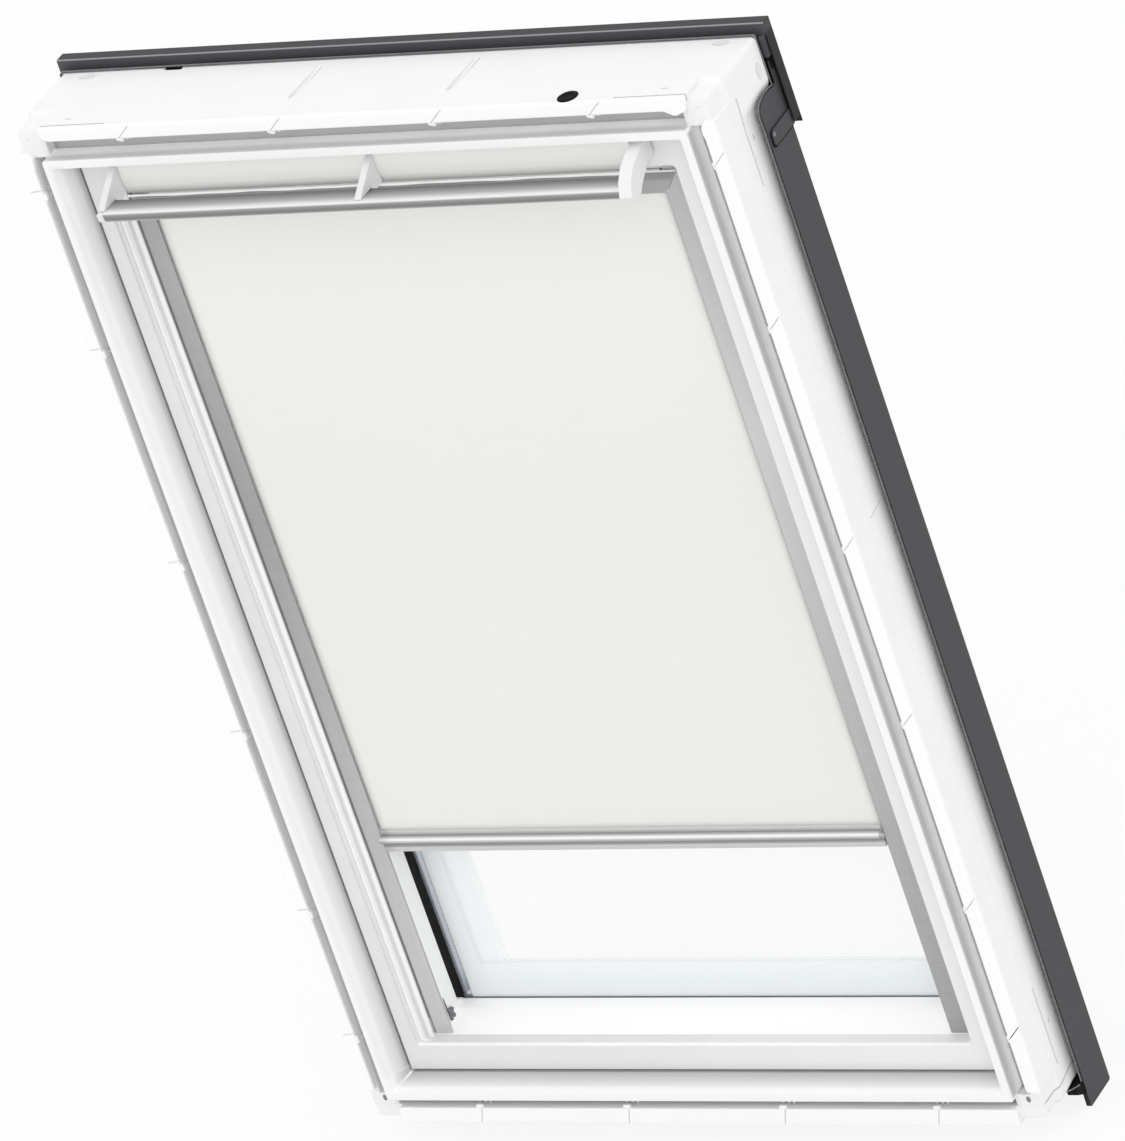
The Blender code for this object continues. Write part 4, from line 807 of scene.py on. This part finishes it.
# Each strap has a black plate behind it, a little wider and set a little lower: a painted shadow of the
# strap.
STRAP_SHADOW_WIDER, STRAP_SHADOW_DROP = 0.0020, 0.0011
strap_outline = [Vector(point) for point in STRAP_EDGE]
middle = sum(strap_outline, Vector((0, 0))) / len(strap_outline)
strap_shadow_edge = [tuple(middle + (point - middle) * (1 + STRAP_SHADOW_WIDER / (point - middle).length)
                     - Vector((0, STRAP_SHADOW_DROP))) for point in strap_outline]
for side, sign in (("left", -1), ("right", 1)):
    plates = [on_side(sign, *plate) for plate in COVER_PLATES]
    dressed(prisms("side_cover_" + side + "_sheet", plates, 0.0003, 2), coat, "frame", "cover_paint",
            "side_cover_" + side)
    plates = [on_side(sign, STRAP_EDGE, 0.3934, 0.3948)]
    dressed(prisms("hood_strap_" + side + "_sheet", plates, 0.0003, 2), coat, "frame", "cover_paint",
            "hood_strap_" + side)
    plates = [on_side(sign, strap_shadow_edge, 0.3931, 0.3936)]
    dressed(prisms("strap_gasket_" + side, plates), rubber, "frame", "black_rubber")
RIB_SIZE, RIB_PITCH, RIB_COUNT = (0.0040, 0.0011, 0.0230), 0.0028, 5
ribs = []
for sign in (-1, 1):
    for i in range(RIB_COUNT):
        ribs.append(((sign * 0.3925, 0.0995 + RIB_PITCH * i, 1.1485), (0, 0, 0)))
rib_piece = repeated("hood_end_ribs", ribs, plain_block, RIB_SIZE, rubber)
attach(rib_piece, "frame")
rim_metal = Finish("galvanised_rim", (0.17, 0.17, 0.18), 0.4, 0.3)
rim_metal.set("Base Color", rim_metal.mix(rim_metal.noise(0.01, 3), (0.14, 0.14, 0.15), (0.24, 0.24, 0.25)))
rim_metal.worn(0.35, 0.15, 0.004, 0.0008, 0.00001)
for node in ("strap_screw_left", "strap_screw_right"):
    eased(node + "_zinc", node, "frame", "bright_metal", rim_metal, 0.0002)
RIM = ((0.0551, 0.0008), (0.0551, 1.0950), (0.0543, 1.1075), (0.0551, 1.1140), (0.0580, 1.1190),
       (0.0627, 1.1221), (0.0710, 1.1245), (0.0792, 1.1252), (0.0880, 1.1243), (0.0935, 1.1230))
RIM_END = ((0.3912, 0.0952, 1.1215), (0.3901, 0.0956, 1.1250), (0.3893, 0.0958, 1.1760))
FOOT = ((0.3740, 0.0330), (0.3750, 0.0352), (0.3763, 0.0350), (0.3775, 0.0368), (0.3825, 0.0388),
        (0.3862, 0.0425), (0.3900, 0.0473), (0.3914, 0.0510))
rims = []
for sign in (-1, 1):
    rims.append([(sign * 0.3920, edge_y, edge_z) for edge_y, edge_z in RIM]
                + [(sign * end_x, edge_y, edge_z) for end_x, edge_y, edge_z in RIM_END])
    rims.append([(sign * foot_x, foot_y, -0.0002) for foot_x, foot_y in FOOT])
rims.append([(-0.3893, 0.0958, 1.1763), (0.3893, 0.0958, 1.1763)])
dressed(rod("flange_rim", rims, 0.0008), rim_metal, "frame", "bright_metal")
# Black blocks inside each side cover, below the skin's foot, are painted shade for the dark hollow there.
SHADE_BLOCK_EDGE = ((0.0440, -0.0008), (0.0440, -0.0080), (0.0577, -0.0160), (0.0800, -0.0160), (0.0800, -0.0008))
shade_blocks = [on_side(sign, SHADE_BLOCK_EDGE, 0.3790, 0.3912) for sign in (-1, 1)]
dressed(prisms("cover_foot_shade_blocks", shade_blocks, 0.0003, 2), rubber, "frame", "black_rubber")
sash_coat, tone = powder_coated("sash_cover_coat")
x, y, z = sash_coat.x, sash_coat.y, sash_coat.z
# Painted reflection: the covers' inner faces beside the glass are painted pale blue, like the pale sheen on
# the glass in front of them.
inner = (1 - y.ease(0.0934, 0.0938)) * (1 - abs(x).ease(0.2985, 0.2995))
inner = inner * (1 - z.within(0.0, 0.0835, 0.001)) * (1 - z.ease(1.090, 1.091))
sash_coat.set("Base Color", sash_coat.mix(inner, tone, (0.80, 0.87, 0.90)))
for node in ("sash_cover_left", "sash_cover_right", "sash_cover_top", "sash_cover_bottom"):
    eased(node + "_sheet", node, "sash", "cover_paint", sash_coat, 0.0004)

# Sash: two stiles, a top and a bottom rail in one moulded white skin, a touch darker and satin. Its
# inner edge steps down in small mouldings to a recess for the glass, with a sloping sill below it.
SASH_SIZE = (0.336, 0.0535, 1.125)
SASH_RUN = (
    # millimetres, in the same order as the frame's
    (0.0, 0.0, 0.0, 0.0, 24.5, 1.5),
    (15.5, 15.5, 30.5, 28.5, 24.5, 5.0),
    (15.9, 15.9, 30.9, 29.7, 28.0, 5.0),
    (18.2, 18.2, 32.0, 29.8, 28.6, 4.6),
    (18.4, 18.4, 32.3, 29.6, 31.5, 4.4),
    (20.3, 20.3, 33.4, 29.5, 31.7, 4.0),
    (20.5, 20.5, 33.8, 29.2, 35.0, 3.6),
    (22.9, 22.9, 34.6, 29.1, 35.2, 3.0),
    (23.2, 23.2, 35.0, 28.7, 41.4, 3.0),
    (27.2, 27.2, 35.2, 28.6, 41.5, 2.5),
    (27.4, 27.4, 35.3, 28.5, 45.0, 2.5),
    (27.4, 27.4, 46.6, 30.5, 49.2, 2.5),
    (47.5, 47.5, 47.0, 30.5, 49.2, 1.0),
    (47.5, 47.5, 47.0, 41.3, 73.0, 1.0),
    (45.7, 45.7, 45.4, 41.4, 73.0, 1.0),
    (45.7, 45.7, 45.4, 44.9, 87.5, 1.0),
    (37.2, 37.2, 37.0, 34.7, 87.6, 1.0),
    (37.2, 37.2, 37.0, 34.7, 108.5, 1.0),
    (0.0, 0.0, 0.0, 0.0, 108.5, 1.5),
)
LOCK_ROOM = ((-0.0353, LIP_FACE + 0.0145, 1.1027), (0.0353, LIP_FACE + 0.0428, 1.14))
satin = Finish("moulded_sash_white", (0.80, 0.80, 0.81), 0.33)
x, y, z = satin.x, satin.y, satin.z
mottle = satin.noise(0.07, 3).ease(0.35, 0.7)
tone = satin.mix(mottle, (0.775, 0.778, 0.788), (0.800, 0.803, 0.812))
# Painted light: the face is painted lighter towards the right.
tone = satin.mix(x.ease(-0.20, 0.33) * 0.5, tone, (0.92, 0.92, 0.93))
# Painted light and shadow: on the left stile the mouldings' treads are painted lighter, with two painted
# shadow lines.
left_wall = (1 - x.ease(-0.3085, -0.3080)) * y.ease(0.0006, 0.0010)
crisp = y.within(0.0074, 0.0108, 0.0004) + y.within(0.0168, 0.0192, 0.0004)
tone = satin.mix(left_wall * crisp, tone, (0.98, 0.98, 0.985))
for low, high, share, dark in ((0.0112, 0.0122, 0.3, (0.60, 0.60, 0.61)),
                               (0.0198, 0.0212, 0.8, (0.25, 0.25, 0.26))):
    tone = satin.mix(left_wall * y.within(low, high, 0.0003) * share, tone, dark)
# Painted light: the inner walls near the glass are painted lighter.
wall = y.past(0.0245) * (1 - abs(x).past(0.2900))
tone = satin.mix(wall, tone, (0.96, 0.96, 0.965))
foot_shade = 1 - z.ease(0.0540, 0.0660)
tone = satin.mix(foot_shade * 0.4, tone, (0.62, 0.62, 0.63))
# A painted shadow along the right stile's outer edge, where it meets the frame.
edge = x.ease(0.3350, 0.3354) * (1 - y.ease(0.0015, 0.0020))
tone = satin.mix(edge * 0.6, tone, (0.35, 0.35, 0.36))
# Painted light: a highlight line along the bottom edge of the recess, and the sloping sill painted lighter
# with a faint glow.
inside = 1 - abs(x).past(0.3185)
sill_line = inside * z.within(0.0822, 0.0836, 0.0003) * (1 - y.ease(0.0042, 0.0046))
tone = satin.mix(sill_line, tone, (0.98, 0.98, 0.985))
sill = 1 - z.past(0.102, 0.001)
sill_light = y.ease(0.0195, 0.0212) * sill
tone = satin.mix(sill_light, tone, (0.975, 0.975, 0.98))
slope_end = y.within(0.0618, 0.0640, 0.0003) * sill * inside
tone = satin.mix(slope_end * 0.9, tone, (0.06, 0.06, 0.07))
satin.set("Base Color", tone)
satin.lit(sill_light * inside * y.within(0.0212, 0.0620, 0.0005) * 0.05)
satin.worn(0.30, 0.10, 0.004, 0.0011, 0.00002)
sash_skin = framed("sash_skin", SASH_RUN, 0.35, SASH_SIZE)
carved(sash_skin, prisms("lock_room", [boxed(*LOCK_ROOM)]))
dressed(sash_skin, satin, "sash", "sash_plastic", "sash_stile_left", "sash_stile_right", "sash_top_rail",
        "sash_bottom_rail")

# Glazing: two clear panes held apart by a perforated spacer. A black gasket seats the inner one and
# shows as a line along the sill's upper end. A pale veil on the left and below is a reflection.
glass = Finish("clear_glass", (0.90, 0.95, 0.97), 0.02)
x, z = glass.x, glass.z
tone = glass.mix(glass.noise(0.3), (0.92, 0.96, 0.98), (0.96, 0.98, 0.99))
sheen = 1 - z.ease(0.1375, 0.1450)
sheen = sheen.math("MAXIMUM", 1 - x.ease(-0.2600, -0.2480))
sheen = sheen.math("MAXIMUM", (1 - x.ease(-0.2280, -0.2215)) * 0.5)
sheen = sheen * x.ease(-0.2800, -0.2788) * (1 - glass.y.ease(0.0700, 0.0720))
glass.set("Base Color", glass.mix(sheen, tone, (0.945, 0.985, 0.998)))
glass.dulled(0.015, 0.01, 0.05)
glass.set("Alpha", 0.03 + sheen * 0.77)
for node in ("inner_pane", "outer_pane"):
    eased(node + "_glass", node, "sash", "clear_glass", glass, 0.0004)
spacer = Finish("spacer_aluminium", (0.45, 0.48, 0.52), 0.4, 0.5)
HOLE_PITCH = 0.004
dots = 1 - abs((spacer.z / HOLE_PITCH).math("FRACT") - 0.5).ease(0.10, 0.16)
tone = spacer.mix(dots * 0.5, (0.56, 0.60, 0.65), (0.36, 0.38, 0.42))
tone = spacer.mix(spacer.y.ease(0.0750, 0.0756), tone, (0.12, 0.13, 0.14))
# The spacer's face beside the gasket is painted black: the gasket's painted shadow.
gasket_shadow = abs(spacer.x).past(0.2917) * (1 - spacer.y.ease(0.0686, 0.0690))
tone = spacer.mix(gasket_shadow, tone, (0.02, 0.02, 0.02))
# Painted reflection: the spacer's bottom run is painted pale blue-white, like the pale sheen on the glass in
# front of it.
spacer.set("Base Color", spacer.mix(1 - spacer.z.ease(0.0985, 0.1000), tone, (0.92, 0.95, 0.97)))
spacer.dulled(0.35, 0.1, 0.004)
spacer.set("Normal", spacer.bump(dots, 0.00006))
eased("spacer_bar", "spacer_frame", "sash", "spacer_metal", spacer, 0.0003)
GASKET_RUN = (
    # millimetres, in the same order as the frame's
    (46.0, 46.0, 45.7, 39.5, 73.3, 1.0),
    (47.4, 47.4, 46.9, 40.6, 73.3, 1.0),
    (47.2, 47.2, 46.7, 43.9, 86.6, 1.0),
    (47.0, 47.0, 46.5, 44.9, 87.1, 1.0),
    (46.7, 46.7, 46.2, 45.0, 87.7, 1.0),
    (46.0, 46.0, 45.7, 43.0, 87.7, 1.0),
)
gasket = framed("glazing_gasket", GASKET_RUN, 0.3, SASH_SIZE)
SILL_END, SILL_HALF = ((0.0480, 0.1085), (0.0625, 0.0984), (0.0625, 0.0800), (0.0480, 0.0800)), 0.3200
carved(gasket, prisms("sill_ends", [(SILL_END, 0, -SILL_HALF, SILL_HALF)]))
dressed(gasket, rubber, "sash", "black_rubber", "inner_gasket")
# A glazing bead ring behind the outer pane, painted pale blue: a painted reflection of the pale sheen on the
# glass in front of it.
BEAD_RUN = ((37.8, 37.8, 37.5, 35.3, 105.4, 1.0), (49.3, 49.3, 49.3, 49.3, 105.4, 1.0),
            (49.3, 49.3, 49.3, 49.3, 108.5, 1.0), (37.8, 37.8, 37.5, 35.3, 108.5, 1.0))
bead = framed("outer_glazing_bead", BEAD_RUN, 0.3, SASH_SIZE)
bead_reflection = Finish("glazing_bead_painted_reflection", (0.86, 0.92, 0.94), 0.5)
bead_reflection.set("Base Color", bead_reflection.mix(bead_reflection.noise(0.02, 3), (0.84, 0.90, 0.93), (0.89, 0.94, 0.96)))
bead_reflection.dulled(0.45, 0.15, 0.003)
dressed(bead, bead_reflection, "sash", "sash_plastic")

# Latch clip: a small dark steel spring on the left inner wall, which holds the sash for cleaning.
clip_steel = Finish("spring_steel", (0.20, 0.20, 0.21), 0.4, 0.3)
glitter = clip_steel.noise(0.0025, 3)
clip_steel.set("Base Color", clip_steel.mix(glitter, (0.06, 0.06, 0.065), (0.24, 0.24, 0.25)))
clip_steel.dulled(0.35, 0.15, 0.002)
CLIP_DROP = 0.006
CLIP_EDGE = (
    # depth, and share of the clip's height
    (0.0256, 1.0), (0.0266, 0.55), (0.0300, 0.50), (0.0345, 0.45), (0.0374, 0.33), (0.0345, 0.25),
    (0.0372, 0.06), (0.0335, 0.02), (0.0325, 0.16), (0.0300, 0.00), (0.0262, 0.04), (0.0256, 0.40))
clip_low, clip_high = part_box("cleaning_clip")
clip_foot = clip_low.z - CLIP_DROP
clip_outline = tuple((edge_y, clip_foot + (clip_high.z - clip_foot) * share) for edge_y, share in CLIP_EDGE)
clip = prisms("latch_clip", [(clip_outline, 0, clip_low.x, clip_high.x)], 0.0002, 2)
dressed(clip, clip_steel, "sash", "bright_metal", "cleaning_clip")

# Blind casing and side channels: extruded aluminium with a light grey coat, drawn lengthwise.
grey_coat = Finish("channel_coat", (0.55, 0.55, 0.56), 0.35, 0.1)
x, y, z = grey_coat.x, grey_coat.y, grey_coat.z
streak = grey_coat.noise(0.0012, 3, (1, 1, 0.02)) * 0.5 + grey_coat.noise(0.0012, 3, (0.02, 1, 1)) * 0.5
# Painted reflection: the channels are painted lighter and darker along their length, and the casing's face
# across its width; the left channel's outer edge is painted shade.
left_tone = z.ramp((0.09, 0.555), (0.20, 0.54), (0.40, 0.45), (0.70, 0.33), (0.85, 0.365), (1.00, 0.405),
                   (1.07, 0.38))
right_tone = z.ramp((0.09, 0.34), (0.30, 0.41), (0.50, 0.485), (0.78, 0.60), (1.07, 0.49))
tone = grey_coat.mix(x.ease(-0.2, 0.2), left_tone, right_tone)
casing_tone = x.ramp((-0.29, 0.38), (-0.15, 0.335), (0.0, 0.28), (0.07, 0.25), (0.20, 0.31), (0.29, 0.40))
casing_tone = grey_coat.mix(z.ease(1.0655, 1.0690), casing_tone, (0.27, 0.27, 0.28))
tone = grey_coat.mix((1 - x.past(-0.3065)) * 0.9, tone, (0.14, 0.14, 0.15))
tone = grey_coat.mix(x.within(0.2870, 0.2886, 0.0004) * 0.4, tone, (0.30, 0.30, 0.31))
MITRE_HALF, MITRE_FOOT, MITRE_SLOPE = 0.2870, 1.0527, 0.77
casing_half = MITRE_HALF + (z - MITRE_FOOT) * MITRE_SLOPE
across_top = z.past(1.0524, 0.0002) * (1 - abs(x).past(casing_half, 0.0002))
tone = grey_coat.mix(across_top, tone, casing_tone)
tone = grey_coat.mix(across_top * z.ease(1.0752, 1.0760), tone, (0.90, 0.90, 0.91))
grey_coat.set("Base Color", grey_coat.mix(streak.ease(0.35, 0.65) * 0.06, tone, (1.0, 1.0, 1.0)))
grey_coat.dulled(0.34, 0.14, 0.003)
grey_coat.set("Normal", grey_coat.bump(streak, 0.00001))
CHANNEL_FOOT = 0.0062
for node, longer in (("blind_casing", 0.0), ("blind_channel_left", CHANNEL_FOOT),
                     ("blind_channel_right", CHANNEL_FOOT)):
    eased(node + "_coated", node, "sash", "painted_aluminium", grey_coat, 0.0004, longer=longer)
for node, body in (("casing_end_left", "sash"), ("casing_end_right", "sash"), ("end_glide_left", "blind"),
                   ("end_glide_right", "blind"), ("bar_end_cap", "flap"), ("flap_fin_left", "flap"),
                   ("flap_fin_middle", "flap"), ("flap_arm_right", "flap")):
    eased(node + "_moulded", node, body, "sash_plastic", satin, 0.0005)

# Bottom bar of the blind: one extrusion with a round grip bead along its front and a flat lip below,
# coated pale grey, with painted highlight and shade across its profile, brightest on the bead. The fabric
# is tucked into its upper edge.
BEAD_Y, BEAD_Z, BEAD_RADIUS = 0.0168, 0.3220, 0.0042
bar_coat = Finish("bottom_bar_coat", (0.55, 0.55, 0.56), 0.32, 0.1)
grain = bar_coat.noise(0.0010, 3, (0.02, 1, 1))
height = bar_coat.z + (bar_coat.y - BEAD_Y) * 0.697
tone = height.ramp((0.3075, 0.60), (0.3138, 0.66), (0.3165, 0.24), (0.3195, 0.55), (0.3210, 0.85),
                   (0.3225, 0.95), (0.3255, 0.48), (0.3278, 0.50), (0.3315, 0.68), (0.3380, 0.70))
# A painted shadow at the bar's left end, beside the channel.
near_end = 1 - bar_coat.x.ease(-0.2850, -0.2700)
bar_coat.set("Base Color", bar_coat.mix(near_end * 0.35 + grain * 0.06, tone, (0.18, 0.18, 0.19)))
bar_coat.dulled(0.28, 0.12, 0.003)
bar_coat.set("Normal", bar_coat.bump(grain, 0.00001))
bar_low, bar_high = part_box("bottom_bar")
bar_outline = [(0.0250, 0.3063), (0.0250, 0.3303), (0.0205, 0.3303), (0.0205, 0.3246)]
for i in range(17):
    angle = math.radians(36 + i * 18)
    bar_outline.append((BEAD_Y + BEAD_RADIUS * math.cos(angle), BEAD_Z + BEAD_RADIUS * math.sin(angle)))
bar_outline += [(0.0205, 0.3196), (0.0205, 0.3123), (0.0196, 0.3117), (0.0196, 0.3063)]
bar = prisms("bottom_bar_coated", [(bar_outline, 0, bar_low.x, bar_high.x)], 0.0002, 2)
dressed(bar, bar_coat, "blind", "painted_aluminium", "bottom_bar")

# Control bar: a hollow extrusion pulled to open the flap, anodised. Its top is painted darker towards the
# glass and its front face towards its lower edge, as painted shade, with a painted highlight along its front
# top edge.
anodised_and_shaded = Finish("anodised_bar_painted_shade", (0.5, 0.5, 0.51), 0.3, 0.1)
x, y, z = anodised_and_shaded.x, anodised_and_shaded.y, anodised_and_shaded.z
grain = anodised_and_shaded.noise(0.0010, 3, (0.02, 1, 1))
tone = y.ramp((-0.0575, 0.97), (-0.0540, 0.92), (-0.0470, 0.49), (-0.0400, 0.28), (-0.0330, 0.135),
              (-0.0300, 0.10))
face = z.ramp((1.0933, 0.15), (1.0975, 0.21), (1.1010, 0.33), (1.1023, 0.80))
tone = anodised_and_shaded.mix(1 - y.ease(-0.0578, -0.0568), tone, face)
anodised_and_shaded.set("Base Color", anodised_and_shaded.mix(grain * 0.08, tone, (0.1, 0.1, 0.1)))
anodised_and_shaded.dulled(0.28, 0.12, 0.003)
anodised_and_shaded.set("Normal", anodised_and_shaded.bump(grain, 0.00001))
eased("control_bar_anodised", "control_bar", "flap", "painted_aluminium", anodised_and_shaded, 0.0004)

# Ventilation flap: one warm white moulded panel behind the control bar, with a soft sealing lip
# that waves a little along its lower edge.
warm = Finish("warm_white_flap", (0.80, 0.80, 0.77), 0.42)
# The panel is painted darker towards its lower edge: painted shade under the control bar.
tone = warm.z.ramp((1.0922, 0.97), (1.0954, 0.95), (1.0958, 0.34), (1.1000, 0.58), (1.1060, 0.85),
                   (1.1150, 0.96), (1.1290, 1.0))
warmed = warm.add("ShaderNodeMix", {"data_type": "RGBA", "blend_type": "MULTIPLY"},
                  {0: 1.0, 6: tone, 7: (1.0, 0.995, 0.965, 1)}, 2)
warm.set("Base Color", warm.mix(warm.noise(0.05, 3) * 0.06, warmed, (0.70, 0.70, 0.67)))
warm.worn(0.38, 0.12, 0.004, 0.0012, 0.00003)
eased("flap_panel_moulded", "flap_panel", "flap", "flap_plastic", warm, 0.0006)
flap_low, flap_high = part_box("flap_panel")
LIP_INSET, LIP_DROP, LIP_WAVE, LIP_STEPS = 0.0004, 0.0026, 0.0005, 120
lip_start, lip_end = flap_low.x + LIP_INSET, flap_high.x - LIP_INSET
lip_outline = []
for i in range(LIP_STEPS + 1):
    lip_outline.append((lip_start + (lip_end - lip_start) * i / LIP_STEPS,
                        flap_low.z - LIP_DROP + LIP_WAVE * math.sin(i * 0.37) * math.sin(i * 0.11 + 1)))
lip_outline += [(lip_end, flap_low.z - 0.0003), (lip_start, flap_low.z - 0.0003)]
lip = prisms("flap_sealing_lip", [(lip_outline, 1, flap_low.y + 0.0008, flap_low.y + 0.0020)])
dressed(lip, warm, "flap", "flap_plastic")

# Blind fabric: a plain-woven cream cloth, stretched between the roller and the bottom bar.
cloth = Finish("cream_weave", (0.83, 0.84, 0.80), 0.85)
THREADS = 5200
weft = (cloth.z * THREADS).math("SINE")
warp = (cloth.x * THREADS).math("SINE")
slub = cloth.noise(0.0016, 2, (0.03, 1, 1))
tone = cloth.mix(slub, (0.830, 0.842, 0.800), (0.852, 0.862, 0.822))
tone = cloth.mix(cloth.z.ease(0.70, 1.06) * 0.6, tone, (0.93, 0.94, 0.90))
# A painted shadow of the channel's slot along the cloth's left edge.
slot_shadow = 1 - cloth.x.ease(-0.2858, -0.2850)
cloth.set("Base Color", cloth.mix(slot_shadow * 0.5, tone, (0.30, 0.30, 0.29)))
cloth.dulled(0.8, 0.1, 0.002)
cloth.set("Normal", cloth.bump(weft * 0.5 + warp * 0.3 + slub, 0.00005))
fabric_low, fabric_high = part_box("blind_fabric")
TUCK, SIDE_GAIN = 0.0078, 0.0021
fabric_low = fabric_low - Vector((SIDE_GAIN, 0, TUCK))
fabric_high = fabric_high + Vector((SIDE_GAIN, 0, 0))
fabric_mesh = bpy.data.meshes.new("blind_cloth")
work = bmesh.new()
ROWS, COLUMNS = 90, 60
middle = (fabric_low.y + fabric_high.y) / 2
grid = [[work.verts.new((fabric_low.x + (fabric_high.x - fabric_low.x) * i / COLUMNS,
                         middle + 0.0003 * math.sin(math.pi * i / COLUMNS) * math.sin(j * 0.21 + i * 0.05),
                         fabric_low.z + (fabric_high.z - fabric_low.z) * j / ROWS))
         for i in range(COLUMNS + 1)] for j in range(ROWS + 1)]
for j in range(ROWS):
    for i in range(COLUMNS):
        work.faces.new((grid[j][i], grid[j][i + 1], grid[j + 1][i + 1], grid[j + 1][i])).smooth = True
work.to_mesh(fabric_mesh)
work.free()
fabric = new_piece("blind_cloth", fabric_mesh)
fabric.data.materials.append(cloth.material)
thick = fabric.modifiers.new("cloth thickness", "SOLIDIFY")
thick.thickness = 0.0004
thick.offset = 0
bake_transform(fabric)
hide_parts("blind_fabric")
eased("roller_winding", "roller_tube", "roller", "blind_cloth", cloth, 0.0003)
